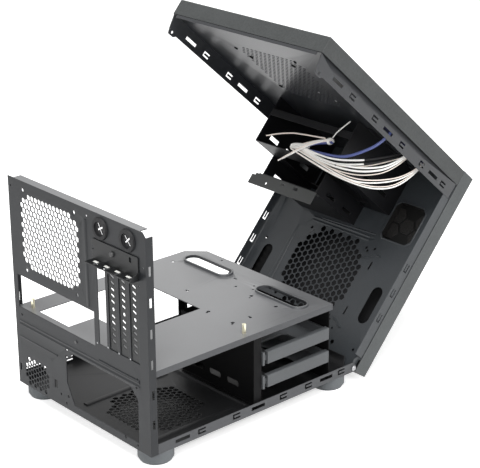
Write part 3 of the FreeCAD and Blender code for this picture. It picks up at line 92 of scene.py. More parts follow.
# painted and moulded finishes: base colour, gloss, grain of the coat, and how strongly a painted highlight
# lightens the edges
finishes = {
    "blackCoat": {"colour": (0.011, 0.0112, 0.012), "rough": 0.45, "shine": 0.25,
                  "grain": 900, "bump": 0.15, "mottle": 0.25, "edge": 0.5},
    "panelCoat": {"colour": (0.0115, 0.0128, 0.0148), "rough": 0.42, "shine": 0.28,
                  "grain": 900, "bump": 0.15, "mottle": 0.2, "edge": 0.7},
    "frontCoat": {"colour": (0.030, 0.034, 0.038), "rough": 0.36, "shine": 0.42,
                  "grain": 900, "bump": 0.15, "mottle": 0.25, "edge": 0.5},
    "deepCoat": {"colour": (0.005, 0.005, 0.006), "rough": 0.42, "shine": 0.25,
                 "grain": 900, "bump": 0.12, "mottle": 0.25, "edge": 0.6},
    "railCoat": {"colour": (0.021, 0.0225, 0.0255), "rough": 0.32, "shine": 0.5,
                 "grain": 900, "bump": 0.12, "mottle": 0.2, "edge": 0.5},
    # painted sheen: a paler copy of the black paint, laid on faces that look up towards the overhead light
    "topSheenCoat": {"colour": (0.122, 0.124, 0.128), "rough": 0.33, "shine": 0.6,
                 "grain": 700, "bump": 0.06, "mottle": 0.1, "edge": 0.3},
    "coverCoat": {"colour": (0.037, 0.040, 0.040), "rough": 0.55, "shine": 0.4,
                  "grain": 420, "bump": 0.4, "mottle": 0.4, "edge": 0.9},
    "fasciaCoat": {"colour": (0.052, 0.057, 0.058), "rough": 0.5, "shine": 0.4,
                   "grain": 420, "bump": 0.3, "mottle": 0.25, "edge": 0.3},
    "bracketCoat": {"colour": (0.040, 0.042, 0.041), "rough": 0.45, "shine": 0.4,
                    "grain": 900, "bump": 0.12, "mottle": 0.2, "edge": 0.6},
    "retainerCoat": {"colour": (0.009, 0.0095, 0.010), "rough": 0.4, "shine": 0.3,
                     "grain": 900, "bump": 0.12, "mottle": 0.2, "edge": 0.9},
    "slotCoat": {"colour": (0.012, 0.013, 0.0135), "rough": 0.42, "shine": 0.3,
                 "grain": 900, "bump": 0.12, "mottle": 0.2, "edge": 0.5},
    "mouldedBlack": {"colour": (0.008, 0.008, 0.009), "rough": 0.5, "shine": 0.3,
                     "grain": 1500, "bump": 0.2, "mottle": 0.2, "edge": 0.3},
    "mouldedGrey": {"colour": (0.066, 0.070, 0.074), "rough": 0.5, "shine": 0.4,
                    "grain": 1500, "bump": 0.2, "mottle": 0.2, "edge": 0.3},
    "footRubber": {"colour": (0.115, 0.124, 0.130), "rough": 0.65, "shine": 0.3,
                   "grain": 1200, "bump": 0.3, "mottle": 0.25, "edge": 0.3},
    "rubber": {"colour": (0.010, 0.010, 0.011), "rough": 0.6, "shine": 0.3,
               "grain": 1200, "bump": 0.3, "mottle": 0.3, "edge": 0.5},
    "leadWhite": {"colour": (0.93, 0.92, 0.89), "rough": 0.35, "shine": 0.5,
                  "grain": 500, "bump": 0.05, "mottle": 0.05, "edge": 0},
    "leadCream": {"colour": (0.86, 0.77, 0.70), "rough": 0.35, "shine": 0.5,
                  "grain": 500, "bump": 0.05, "mottle": 0.12, "edge": 0},
    "leadBlue": {"colour": (0.085, 0.11, 0.30), "rough": 0.35, "shine": 0.5,
                 "grain": 500, "bump": 0.05, "mottle": 0.1, "edge": 0},
    # white nylon of the cable tie, also used as painted glints on the metal slot tabs
    "nylon": {"colour": (0.82, 0.82, 0.78), "rough": 0.35, "shine": 0.5,
              "grain": 400, "bump": 0.05, "mottle": 0.05, "edge": 0},
    "circuit": {"colour": (0.006, 0.007, 0.03), "rough": 0.45, "shine": 0.4,
                "grain": 600, "bump": 0.1, "mottle": 0.3, "edge": 0},
    # painted shade: black for the gap and the dimples where shade falls
    "recessShadeBlack": {"colour": (0.004, 0.004, 0.004), "rough": 0.8, "shine": 0.1,
                  "grain": 900, "bump": 0.05, "mottle": 0.2, "edge": 0},
    "cageCoat": {"colour": (0.003, 0.003, 0.0033), "rough": 0.6, "shine": 0.1,
                 "grain": 900, "bump": 0.12, "mottle": 0.25, "edge": 0.3},
    # the tray's own coat; on the pan's outer flange it is painted light, a paler copy of the black paint where
    # the side lamp falls
    "trayAndLitFlangeCoat": {"colour": (0.044, 0.046, 0.050), "rough": 0.4, "shine": 0.4,
                 "grain": 900, "bump": 0.12, "mottle": 0.2, "edge": 0.5},
    "bladeGrey": {"colour": (0.030, 0.030, 0.031), "rough": 0.4, "shine": 0.5,
                  "grain": 900, "bump": 0.05, "mottle": 0.2, "edge": 0},
}

# what all coats share: wide patches under a fine grain, and edges that are rounder than the flats and made paler
# by a painted highlight
coatBuild = {
    "patchScale": 14, "patchDetail": 5, "patchShare": 0.5, "grainDetail": 2,
    "mottleStops": (0.4, 0.6), "roughSpread": 0.12, "bumpHeight": 0.2,
    "edgeRadius": 0.7, "edgeSamples": 4, "edgeTurn": (0.98, 0.75), "edgeGain": 2.4, "edgeLift": 0.01,
}

metals = {
    "paleBrass": {"colour": (0.86, 0.82, 0.62), "rough": 0.35},
    "plated": {"colour": (0.35, 0.35, 0.36), "rough": 0.35},
    "brightRivet": {"colour": (0.85, 0.85, 0.85), "rough": 0.3},
}
metalBuild = {"grain": 800, "roughSpread": 0.2, "darkShare": 0.9}


def newMaterial(name):
    mat = bpy.data.materials.new(name)
    mat.use_nodes = True
    return mat, mat.node_tree, mat.node_tree.nodes["Principled BSDF"]


def addNode(tree, kind, inputs, **settings):
    node = tree.nodes.new("ShaderNode" + kind)
    for key, value in settings.items():
        setattr(node, key, value)
    for key, value in inputs.items():
        if isinstance(value, bpy.types.NodeSocket):
            tree.links.new(value, node.inputs[key])
        else:
            node.inputs[key].default_value = value
    return node


def shaded(colour, share, lift=0):
    return [min(1, part * share + lift) for part in colour]


def addRamp(tree, factor, stops, colours):
    ramp = addNode(tree, "ValToRGB", {"Fac": factor})
    for stop, position, colour in zip(ramp.color_ramp.elements, stops, colours):
        stop.position = position
        stop.color = (*colour, 1)
    return ramp.outputs["Color"]


def addPolish(tree, shader, grain, rough, spread):
    polish = addNode(tree, "MapRange", {"Value": grain, "To Min": rough * (1 - spread),
                                        "To Max": rough * (1 + spread)})
    tree.links.new(polish.outputs["Result"], shader.inputs["Roughness"])


# painted highlight: the coat is made paler along every edge, where the bevelled normal turns away from the flat
# one
def paintEdgeHighlight(tree, look, bump, colour):
    bevelled = addNode(tree, "Bevel", {"Radius": coatBuild["edgeRadius"] * mm}, samples=coatBuild["edgeSamples"])
    tree.links.new(bevelled.outputs["Normal"], bump.inputs["Normal"])
    flat = addNode(tree, "NewGeometry", {}).outputs["Normal"]
    facing = addNode(tree, "VectorMath", {0: bevelled.outputs["Normal"], 1: flat}, operation="DOT_PRODUCT")
    turnStarts, turnEnds = coatBuild["edgeTurn"]
    rim = addNode(tree, "MapRange", {"Value": facing.outputs["Value"], "From Min": turnStarts,
                                     "From Max": turnEnds, "To Max": look["edge"]})
    pale = shaded(look["colour"], coatBuild["edgeGain"], coatBuild["edgeLift"])
    paler = addNode(tree, "Mix", {"Factor": rim.outputs["Result"], "A": colour, "B": (*pale, 1)},
                    data_type="RGBA")
    return paler.outputs["Result"]


def coatMaterial(name):
    look = finishes[name]
    mat, tree, shader = newMaterial(name)
    shader.inputs["Specular IOR Level"].default_value = look["shine"]
    place = addNode(tree, "TexCoord", {}).outputs["Object"]
    patches = addNode(tree, "TexNoise", {"Vector": place, "Scale": coatBuild["patchScale"],
                                         "Detail": coatBuild["patchDetail"]}).outputs["Fac"]
    grain = addNode(tree, "TexNoise", {"Vector": place, "Scale": look["grain"],
                                       "Detail": coatBuild["grainDetail"]}).outputs["Fac"]
    share = coatBuild["patchShare"]
    under = addNode(tree, "Math", {0: patches, 1: share}, operation="MULTIPLY").outputs["Value"]
    blend = addNode(tree, "Math", {0: grain, 1: 1 - share, 2: under}, operation="MULTIPLY_ADD").outputs["Value"]
    shades = [shaded(look["colour"], 1 + side * look["mottle"] / 2) for side in (-1, 1)]
    colour = addRamp(tree, blend, coatBuild["mottleStops"], shades)
    addPolish(tree, shader, grain, look["rough"], coatBuild["roughSpread"])
    bump = addNode(tree, "Bump", {"Height": grain, "Strength": look["bump"],
                                  "Distance": coatBuild["bumpHeight"] * mm})
    tree.links.new(bump.outputs["Normal"], shader.inputs["Normal"])
    if look["edge"]:
        colour = paintEdgeHighlight(tree, look, bump, colour)
    tree.links.new(colour, shader.inputs["Base Color"])
    return mat


def metalMaterial(name):
    look = metals[name]
    mat, tree, shader = newMaterial(name)
    shader.inputs["Metallic"].default_value = 1
    place = addNode(tree, "TexCoord", {}).outputs["Object"]
    grain = addNode(tree, "TexNoise", {"Vector": place, "Scale": metalBuild["grain"]}).outputs["Fac"]
    addPolish(tree, shader, grain, look["rough"], metalBuild["roughSpread"])
    shades = [shaded(look["colour"], metalBuild["darkShare"]), look["colour"]]
    tree.links.new(addRamp(tree, grain, (0, 1), shades), shader.inputs["Base Color"])
    return mat


# painted shade: the honeycomb's sunken floor is coloured black and its raised cells grey, told apart by their
# depth behind the chassis
honeycombLook = {"floorY": -182.5, "cellY": -181.3,
                 "black": (0.003, 0.003, 0.003), "grey": (0.015, 0.014, 0.0135),
                 "weave": 500, "weaveStops": (0.35, 0.7), "weaveShades": (0.5, 1.3)}


def honeycombMaterial():
    mat = coatMaterial("mouldedBlack")
    mat.name = "honeycombBlack"
    tree = mat.node_tree
    place = addNode(tree, "TexCoord", {}).outputs["Object"]
    normal = (shellOpen.to_3x3() @ Vector((0, 1, 0))).normalized()
    halfway = (honeycombLook["floorY"] + honeycombLook["cellY"]) / 2
    level = normal.dot(shellOpen @ Vector((0, halfway * mm, 0)))
    depth = addNode(tree, "VectorMath", {0: place, 1: normal}, operation="DOT_PRODUCT").outputs["Value"]
    above = addNode(tree, "Math", {0: depth, 1: level}, operation="GREATER_THAN").outputs["Value"]
    weave = addNode(tree, "TexNoise", {"Vector": place, "Scale": honeycombLook["weave"]}).outputs["Fac"]
    shades = [shaded(honeycombLook["grey"], share) for share in honeycombLook["weaveShades"]]
    woven = addRamp(tree, weave, honeycombLook["weaveStops"], shades)
    mixed = addNode(tree, "Mix", {"Factor": above, "A": (*honeycombLook["black"], 1), "B": woven},
                    data_type="RGBA")
    tree.links.new(mixed.outputs["Result"], tree.nodes["Principled BSDF"].inputs["Base Color"])
    return mat


coats = {name: coatMaterial(name) for name in finishes}
coats.update({name: metalMaterial(name) for name in metals})
coats["honeycomb"] = honeycombMaterial()

nodeCoats = {
    "blackCoat": ("bottom_pan",),
    "panelCoat": ("rear_panel",),
    "frontCoat": ("front_chassis",),
    "railCoat": ("top_chassis",),
    "deepCoat": ("optical_cage", "floppy_cage"),
    "cageCoat": ("drive_cage", "tray_post"),
    "topSheenCoat": ("motherboard_tray",),
    "coverCoat": ("top_cover",),
    "fasciaCoat": ("front_fascia",),
    "bracketCoat": ("bay_plate",),
    "retainerCoat": ("slot_retainer",),
    "slotCoat": ("slot_cover_1", "slot_cover_2", "slot_cover_3"),
    "mouldedGrey": ("drive_tray_lower", "drive_tray_upper"),
    "mouldedBlack": ("intake_grille", "optical_bay_cover", "small_bay_cover", "power_button", "reset_button"),
    "rubber": ("hose_port_inner", "hose_port_outer"),
    "footRubber": ("foot_front_left", "foot_front_right", "foot_rear_left", "foot_rear_right"),
    "circuit": ("button_board", "port_board"),
    "honeycomb": ("honeycomb_insert",),
    "paleBrass": ("standoffs",),
    "plated": ("hinge_pin_left", "hinge_pin_right"),
    "bladeGrey": ("retainer_screw",),
    "nylon": ("cable_tie", "tie_tail"),
}


def paintNode(name, coat):
    mesh = nodes[name].data
    mesh.materials.clear()
    mesh.materials.append(coats[coat])


for coat, names in nodeCoats.items():
    for nodeName in names:
        paintNode(nodeName, coat)
print("finishes on", len(nodeCoats), "groups")

# leads from the socket board to the tied knot, on the part's own route points; a strand lies off its lead
# towards +Y and +Z, or winds around it, and a sleeve covers that share of the run from the board on
leads = {
    "lead_upper": {"coat": "leadWhite", "radius": 1.35, "farEnd": "knot", "sleeve": 0.34, "route": [
        (-119, -76, 297), (-112, -42, 264), (-72, -24.2, 241), (-33, -23.7, 238), (5, -25.3, 242.4)],
        "strands": [{"off": (1, -5.6), "radius": 1.35, "coat": "leadWhite", "sleeve": 0.33},
                    {"off": (-1.5, -9), "radius": 0.8, "coat": "leadCream"}]},
    "lead_middle": {"coat": "leadWhite", "radius": 1.25, "farEnd": "knot", "route": [
        (-124, -72, 297), (-123, -58, 267), (-101.5, -37, 244), (-71, -23.7, 234.4), (-31, -22.7, 234),
        (7, -28.7, 240.4)],
        "strands": [{"off": (0.5, -4.6), "radius": 1.35, "coat": "leadWhite"},
                    {"off": (1, -9.5), "radius": 0.75, "coat": "leadCream"}]},
    "lead_lower": {"coat": "leadCream", "radius": 0.8, "farEnd": "knot", "route": [
        (-125, -104, 297), (-129, -86, 268), (-121, -47.5, 237), (-95.5, -26.4, 222.4), (-37, -21.7, 230),
        (15, -27.2, 238.4)],
        "strands": [{"off": (1, -3.4), "radius": 0.95, "coat": "leadWhite"}]},
    "lead_lowest": {"coat": "leadWhite", "radius": 0.95, "farEnd": "knot", "route": [
        (-123, -108, 297), (-130, -88, 257), (-124, -51.5, 225.5), (-87.5, -23.4, 217), (-29, -21.2, 225.4),
        (23.5, -27.8, 236.5)],
        "strands": [{"off": (1.5, 3.0), "radius": 0.7, "coat": "leadCream"}]},
    "lead_blue": {"coat": "leadBlue", "radius": 2, "farEnd": "knot", "route": [
        (-118, -27, 297), (-115, -25.5, 281), (-96.5, -25, 262.5), (-70, -24.9, 245.4), (-29, -27.1, 242.4),
        (1, -30.7, 242.2)], "strands": []},
    "lead_loop": {"coat": "leadCream", "radius": 1.0, "farEnd": "bare", "route": [
        (-29, -20.7, 262), (3, -26.2, 261), (43, -25.7, 256), (76, -28.2, 243)], "strands": []},
    "lead_stub": {"coat": "leadWhite", "radius": 1.0, "farEnd": "bare", "route": [
        (-27, -20.9, 257), (-7, -20.2, 245), (12, -21.7, 227), (32, -26.7, 215)],
        "strands": [{"off": (2.4, 1.6), "radius": 0.7, "coat": "leadCream"}]},
    "lead_bundle": {"coat": "leadWhite", "radius": 1.6, "farEnd": "knot", "route": [
        (8, -29.5, 245.4), (-7, -26.7, 252), (-23, -25.7, 258), (-39, -25.7, 263)],
        "strands": [{"around": turn, "away": 2.3, "radius": 1.15, "coat": wire} for turn, wire in (
            (20, "leadWhite"), (90, "leadCream"), (150, "leadWhite"), (215, "leadBlue"), (280, "leadBlue"),
            (330, "leadCream"))]},
}

# a wound strand turns by so many degrees over the run; the others lie closest at the board and at the knot
strandLay = {"winds": 70, "least": 0.55, "more": 0.45, "early": 1.15, "knotRate": 5, "knotLeast": 0.25,
             "sleeveWall": 0.25, "sleevePoints": 3}

# the folded end of the bundle: wires that run out from the tie, turn over and come back; each row is the side
# where a wire leaves, the side where it returns, both in degrees, and its distance from the middle
bundleFold = {"start": (1, -28.7, 246), "end": (29, -31.7, 241), "radius": 1.15,
              "behind": -0.1, "middle": 0.4, "bend": 0.15, "tuck": 0.7, "tipStep": 0.05,
              "wires": [(0, 165, 3.6), (40, 205, 3.4), (80, 250, 3.6), (120, 300, 3.3), (310, 100, 2.0),
                        (20, 220, 1.9)]}
curveFineness = {"order": 3, "along": 10, "round": 3}


def smoothCurve(name, points, radius, coat):
    curve = bpy.data.curves.new(name, "CURVE")
    curve.dimensions = "3D"
    curve.bevel_depth = radius
    curve.bevel_resolution = curveFineness["round"]
    curve.use_fill_caps = True
    curve.resolution_u = curveFineness["along"]
    line = curve.splines.new("NURBS")
    line.points.add(len(points) - 1)
    for spot, place in zip(line.points, points):
        spot.co = (*place, 1)
    line.order_u = curveFineness["order"]
    line.use_endpoint_u = True
    curve.materials.append(coats[coat])
    obj = bpy.data.objects.new(name, curve)
    scene.collection.objects.link(obj)
    return obj


def finishedMesh(obj):
    bpy.context.view_layer.update()
    return bpy.data.meshes.new_from_object(obj.evaluated_get(bpy.context.evaluated_depsgraph_get()))


def centreLine(obj):
    bare = obj.data.copy()
    bare.bevel_depth = 0
    probe = bpy.data.objects.new("probe", bare)
    scene.collection.objects.link(probe)
    mesh = finishedMesh(probe)
    points = [vert.co.copy() for vert in mesh.vertices]
    bpy.data.objects.remove(probe)
    bpy.data.meshes.remove(mesh)
    return points


def sideAndRise(along):
    side = along.cross(Vector((0, 0, 1))).normalized()
    return side, side.cross(along)


def onRound(side, rise, degrees):
    turn = math.radians(degrees)
    return side * math.cos(turn) + rise * math.sin(turn)


def besideLine(points, strand):
    last = len(points) - 1
    path = []
    for index, point in enumerate(points):
        share = index / last
        if "around" in strand:
            along = (points[min(index + 1, last)] - points[max(index - 1, 0)]).normalized()
            outward = onRound(*sideAndRise(along), strand["around"] + strandLay["winds"] * share)
            path.append(point + outward * strand["away"] * mm)
        else:
            belly = math.sin(math.pi * min(share * strandLay["early"], 1))
            spread = strandLay["least"] + strandLay["more"] * belly
            spread *= min(1, (1 - share) * strandLay["knotRate"] + strandLay["knotLeast"])
            path.append(point + Vector((0, *strand["off"])) * mm * spread)
    return path


def addSleeve(name, path, radius, share):
    reach = max(strandLay["sleevePoints"], int(len(path) * share))
    return smoothCurve(name, path[:reach], (radius + strandLay["sleeveWall"]) * mm, "rubber")


def layStrands(name, lead, line):
    made = []
    for number, strand in enumerate(lead["strands"], 1):
        path = besideLine(line, strand)
        made.append(smoothCurve(f"strand_{name}_{number}", path, strand["radius"] * mm, strand["coat"]))
        if "sleeve" in strand:
            made.append(addSleeve(f"sleeve_{name}_{number}", path, strand["radius"], strand["sleeve"]))
    if "sleeve" in lead:
        made.append(addSleeve(f"sleeve_{name}", line, lead["radius"], lead["sleeve"]))
    return made


def foldWires():
    start, end = (Vector(bundleFold[key]) for key in ("start", "end"))
    side, rise = sideAndRise((end - start).normalized())
    made = []
    for number, (leave, back, away) in enumerate(bundleFold["wires"], 1):
        tip = 1 - bundleFold["tipStep"] * (number % 3)
        steps = ((bundleFold["behind"], bundleFold["tuck"]), (bundleFold["middle"], 1),
                 (tip - bundleFold["bend"], 1), (tip, bundleFold["tuck"]))
        shut = [start + (end - start) * share + onRound(side, rise, angle) * away * tuck
                for angle, row in ((leave, steps), (back, steps[::-1])) for share, tuck in row]
        path = [shellOpen @ (point * mm) for point in shut]
        made.append(smoothCurve(f"foldedWire_{number}", path, bundleFold["radius"] * mm, "leadWhite"))
    return made


def makeLeads():
    for name, lead in leads.items():
        points = [shellOpen @ (Vector(point) * mm) for point in lead["route"]]
        obj = smoothCurve("run_" + name, points, lead["radius"] * mm, lead["coat"])
        line = centreLine(obj)
        beside = layStrands(name, lead, line)
        if name == "lead_bundle":
            beside += foldWires()
        for piece in [obj] + beside:
            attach(piece, "shell")
        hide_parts(name)
        if name == "lead_bundle":
            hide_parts("lead_knot")
            beside += [nodes["cable_tie"], nodes["tie_tail"]]


makeLeads()
print("leads laid:", len(leads))

# sheets whose fine perforation is drawn at its real pitch: each coarse field is filled and pierced again;
# drilled holes are two places and a radius; painted light: a paler copy of the coat lies on faces that look
# along an axis, to one side and beyond a level, where the lamps fall, and is given as coat, axis, side and level
sheets = {
    "rear_panel": {"body": "base", "coat": "panelCoat", "litFaces": ("topSheenCoat", 2, 1, 290), "axis": "y",
        "levels": (166, 167), "fields": [
        {"middle": (51.5, 233), "half": (63.5, 54.5), "corner": 26, "slope": 2, "pitch": 7.5, "hole": 3.85,
         "upright": False},
        {"middle": (93.5, 40), "half": (30, 21.8), "corner": 11, "slope": 1, "pitch": 6.7, "hole": 3.2,
         "upright": True, "fill": {"middle": (93.5, 46), "half": (33, 28), "corner": 1, "slope": 1}}],
        "drilled": [(-25.4, 287.9, 1.3), (-102.3, 290.5, 1.3), (-128.9, 253.9, 1.2), (-121.2, 229.3, 1.2),
                    (27.7, 88.9, 2.2), (120.3, 115.7, 1.8), (-112.9, 110.1, 1.5), (42.4, 33.4, 1.8),
                    (31.7, 24.3, 1.8), (-110.8, 23.5, 1.6), (129.5, 285.5, 1.4)]},
    "front_chassis": {"body": "shell", "coat": "frontCoat", "axis": "y", "levels": (-172.5, -171.5), "fields": [
        {"middle": (0, 127), "half": (64.5, 64.5), "corner": 32, "slope": 1, "pitch": 9.35, "hole": 4.55,
         "upright": True}],
        "drilled": [(-66.7, 181.7, 2.0), (-56.4, 176, 2.0), (-56.7, 70.2, 1.7), (-67.9, 60.1, 1.7),
                    (-79.5, 43.1, 3.2), (120, 142.5, 2.0), (-44.5, 60, 1.6), (-117.4, 44.6, 2.0)]},
    "bottom_pan": {"body": "base", "coat": "blackCoat", "litFaces": ("trayAndLitFlangeCoat", 0, -1, 134), "axis": "z",
        "levels": (17, 18), "fields": [
        {"middle": (-42, 86), "half": (58, 58), "corner": 29, "slope": 1, "pitch": 8.2, "hole": 3.9,
         "upright": False}],
        "drilled": []},
    "motherboard_tray": {"body": "base", "coat": "trayAndLitFlangeCoat", "litFaces": ("topSheenCoat", 2, 1, 123), "axis": "z",
        "levels": (122.5, 123.5), "fields": [],
        "drilled": [(-45.6, 3.5, 1.6), (-8, -78.2, 1.8), (-47.2, -66.8, 1.4), (-92.8, 3.1, 1.6),
                    (-93.5, -26.4, 1.8), (-22.9, -96.5, 1.6), (-30.5, -87.8, 1.4), (71.5, -123.8, 1.6)]},
    "top_chassis": {"body": "shell", "coat": "railCoat", "axis": "z", "levels": (301.5, 302.5), "fields": [
        {"middle": (0, 59.3), "half": (62, 62), "corner": 14, "slope": 1, "slots": (4.9, 2.3),
         "steps": (8.0, 5.2), "upright": False}],
        "drilled": []},
}

piercing = {"weld": 0.001, "fillPast": 0.02, "cutPast": 1, "rowShare": 0.866, "holeReach": 0.93, "rows": 40,
            "roundSides": 16, "sharpFrom": 30, "normalWeight": 100, "litFacing": 0.8}


def placed(axis, u, v, level):
    return Vector({"x": (level, u, v), "y": (u, level, v), "z": (u, v, level)}[axis]) * mm


def addPrism(form, ring, axis, low, high, turn):
    lows = [form.verts.new(turn @ placed(axis, u, v, low)) for u, v in ring]
    highs = [form.verts.new(turn @ placed(axis, u, v, high)) for u, v in ring]
    count = len(ring)
    form.faces.new(lows)
    form.faces.new(highs[::-1])
    for i in range(count):
        form.faces.new((lows[i], highs[i], highs[(i + 1) % count], lows[(i + 1) % count]))


def turnedRing(u, v, radius, count, start=0):
    steps = [math.radians(start + 360 * i / count) for i in range(count)]
    return [(u + radius * math.cos(step), v + radius * math.sin(step)) for step in steps]


def fieldOutline(field):
    (u, v), (halfU, halfV) = field["middle"], field["half"]
    cutU, cutV = field["corner"], field["corner"] / field["slope"]
    ends = [(halfU, halfV - cutV), (halfU - cutU, halfV), (-halfU + cutU, halfV), (-halfU, halfV - cutV),
            (-halfU, -halfV + cutV), (-halfU + cutU, -halfV), (halfU - cutU, -halfV), (halfU, -halfV + cutV)]
    return [(u + du, v + dv) for du, dv in ends]


def fieldHoles(field):
    (u, v), (halfU, halfV) = field["middle"], field["half"]
    upright = field["upright"]
    if "slots" in field:
        (long, wide), (stepU, stepV) = field["slots"], field["steps"]
        reachU, reachV = long / 2, wide / 2
    else:
        pitch, closer = field["pitch"], field["pitch"] * piercing["rowShare"]
        stepU, stepV = (closer, pitch) if upright else (pitch, closer)
        reachU = reachV = field["hole"] * piercing["holeReach"]
    holes = []
    rows = range(-piercing["rows"], piercing["rows"] + 1)
    for column in rows:
        for row in rows:
            du = column * stepU + (stepU / 2 if row % 2 and not upright else 0)
            dv = row * stepV + (stepV / 2 if column % 2 and upright else 0)
            side, end = halfU - abs(du) - reachU, halfV - abs(dv) - reachV
            if side < 0 or end < 0 or side + field["slope"] * end < field["corner"]:
                continue
            if "slots" in field:
                corners = ((-1, -1), (1, -1), (1, 1), (-1, 1))
                holes.append([(u + du + a * reachU, v + dv + b * reachV) for a, b in corners])
            else:
                holes.append(turnedRing(u + du, v + dv, field["hole"], 6, 0 if upright else 30))
    return holes


def meshObject(name, form):
    bmesh.ops.recalc_face_normals(form, faces=form.faces)
    mesh = bpy.data.meshes.new(name)
    form.to_mesh(mesh)
    form.free()
    obj = bpy.data.objects.new(name, mesh)
    scene.collection.objects.link(obj)
    return obj


def sheetHelpers(sheet):
    turn = standing[sheet["body"]]
    axis = sheet["axis"]
    low, high = sheet["levels"]
    fillPast, cutPast = piercing["fillPast"], piercing["cutPast"]
    fill, holes = bmesh.new(), bmesh.new()
    for field in sheet["fields"]:
        addPrism(fill, fieldOutline(field.get("fill", field)), axis, low - fillPast, high + fillPast, turn)
        for ring in fieldHoles(field):
            addPrism(holes, ring, axis, low - cutPast, high + cutPast, turn)
    for u, v, radius in sheet["drilled"]:
        ring = turnedRing(u, v, radius, piercing["roundSides"])
        addPrism(holes, ring, axis, low - cutPast, high + cutPast, turn)
    return meshObject("filled", fill), meshObject("pierced", holes)


def coatSheet(obj, sheet):
    mesh = obj.data
    mesh.materials.clear()
    mesh.materials.append(coats[sheet["coat"]])
    mesh.polygons.foreach_set("use_smooth", [True] * len(mesh.polygons))
    mesh.set_sharp_from_angle(angle=math.radians(piercing["sharpFrom"]))
    even = obj.modifiers.new("evenNormals", "WEIGHTED_NORMAL")
    even.keep_sharp = True
    even.weight = piercing["normalWeight"]
    # painted light: faces turned towards the lamps get the paler coat
    if "litFaces" in sheet:
        coat, axis, sign, limit = sheet["litFaces"]
        mesh.materials.append(coats[coat])
        for face in mesh.polygons:
            if sign * face.normal[axis] > piercing["litFacing"] and sign * face.center[axis] > limit * mm:
                face.material_index = 1


def pierceSheet(name, sheet):
    form = bmesh.new()
    form.from_mesh(nodes[name].data)
    bmesh.ops.remove_doubles(form, verts=form.verts, dist=piercing["weld"] * mm)
    obj = meshObject("sheet_" + name, form)
    helpers = sheetHelpers(sheet)
    for helper, action in zip(helpers, ("UNION", "DIFFERENCE")):
        if not helper.data.vertices:
            continue
        step = obj.modifiers.new(action, "BOOLEAN")
        step.operation = action
        step.solver = "EXACT"
        step.object = helper
        step.use_self = action == "DIFFERENCE"
    mesh = finishedMesh(obj)
    obj.modifiers.clear()
    obj.data = mesh
    for helper in helpers:
        bpy.data.objects.remove(helper)
    coatSheet(obj, sheet)
    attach(obj, sheet["body"])
    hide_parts(name)
    print("pierced", name, len(mesh.polygons), "faces")


for sheetName, sheet in sheets.items():
    pierceSheet(sheetName, sheet)

# painted shade: the moulded skins are made black inside, on every face away from the outer planes of the shut
# shell
noPlane = 999
skins = {
    "front_fascia": {"low": (-137, -197, -noPlane), "high": (137, noPlane, 324)},
    "top_cover": {"low": (-137, -noPlane, -noPlane), "high": (137, 168.3, 324)},
}
skinDepth = 0.5


def shadeSkinInside(name, skin):
    mesh = nodes[name].data
    mesh.materials.append(coats["mouldedBlack"])
    shut = shellOpen.inverted()
    for face in mesh.polygons:
        spot = shut @ face.center / mm
        outer = any(spot[i] < skin["low"][i] + skinDepth or spot[i] > skin["high"][i] - skinDepth
                    for i in range(3))
        # painted shade: inner faces take the darker moulded black
        if not outer:
            face.material_index = 1


for skinName, skin in skins.items():
    shadeSkinInside(skinName, skin)
print("skins darkened:", len(skins))

# pressed beads, rivets, a painted shadow in the gap under the cover and in the dimples, and painted glints on
# the slot tabs, laid on the sheets; a spot is two places and a radius
trims = {
    "frontBeads": {"node": "front_chassis", "body": "shell", "axis": "y", "level": -171.9, "coat": "frontCoat",
        "radius": 1.5, "lines": [[(76, 166), (72.5, 90)], [(44, 197), (-57, 201)],
                                 [(-55.9, 164.9), (-66.6, 168.3), (-73.2, 175.1), (-81.8, 173.2)],
                                 [(-60.5, 74), (-67.6, 71.9), (-75.7, 65.6), (-79.9, 64.8)]]},
    "frontRivets": {"node": "front_chassis", "body": "shell", "axis": "y", "level": -171.5, "coat": "bladeGrey",
        "spots": [(51.3, 171.5, 1.3), (47.6, 176.5, 1.3), (67.5, 158.1, 1.2)], "rise": 0.5},
    "panelBeads": {"node": "rear_panel", "body": "base", "axis": "y", "level": 166.6, "coat": "panelCoat",
        "radius": 1.5, "lines": [[(-116.5, 108.8), (-40, 108.8)]]},
    "panelScrews": {"node": "rear_panel", "body": "base", "axis": "y", "level": 167, "coat": "bladeGrey",
        "spots": [(6.5, 116.5, 2.2)], "rise": 0.8},
    # painted shadow: a black bar stands in for the shade in the gap at the cover's edge
    "coverGapShade": {"node": "top_cover", "body": "shell", "coat": "recessShadeBlack",
        "bars": [((-136, 168.25, 301.7), (136, 168.4, 302.3))]},
    # painted shade: black discs stand in for the shade inside the pressed dimples
    "topDimpleShades": {"node": "top_chassis", "body": "shell", "axis": "z", "level": 300.9, "coat": "recessShadeBlack",
        "spots": [(49.7, 91.4, 2.8), (65.5, 108.2, 2.6), (54.9, 14.8, 3.0), (-36.1, 100.7, 3.2),
                  (-50.5, 115.7, 2.2)], "rise": 0.65},
    "topRivets": {"node": "top_chassis", "body": "shell", "axis": "z", "level": 301.3, "coat": "brightRivet",
        "spots": [(-29.8, 31.9, 1.3), (-50.9, 18.7, 1.3)], "rise": 0.3},
    # painted glints: pale bars stand in for the light caught by the metal tabs of the slot covers
    "tabGlints": {"node": "slot_retainer", "body": "base", "coat": "nylon",
        "bars": [((x - 3.6, 170.5, 238.3), (x + 3.6, 173.5, 239.0)) for x in (-47.9, -68.3, -88.6, -108.9)]},
    "tabTips": {"node": "rear_panel", "body": "base", "axis": "y", "level": 167, "coat": "plated",
        "spots": [(-37.8, 130.9, 1.1), (-58.9, 132.1, 1.1), (-79.8, 131.7, 1.1), (-101.3, 132, 1.1)],
        "rise": 0.3},
}
trimBuild = {"sink": 0.2, "roundSides": 16}


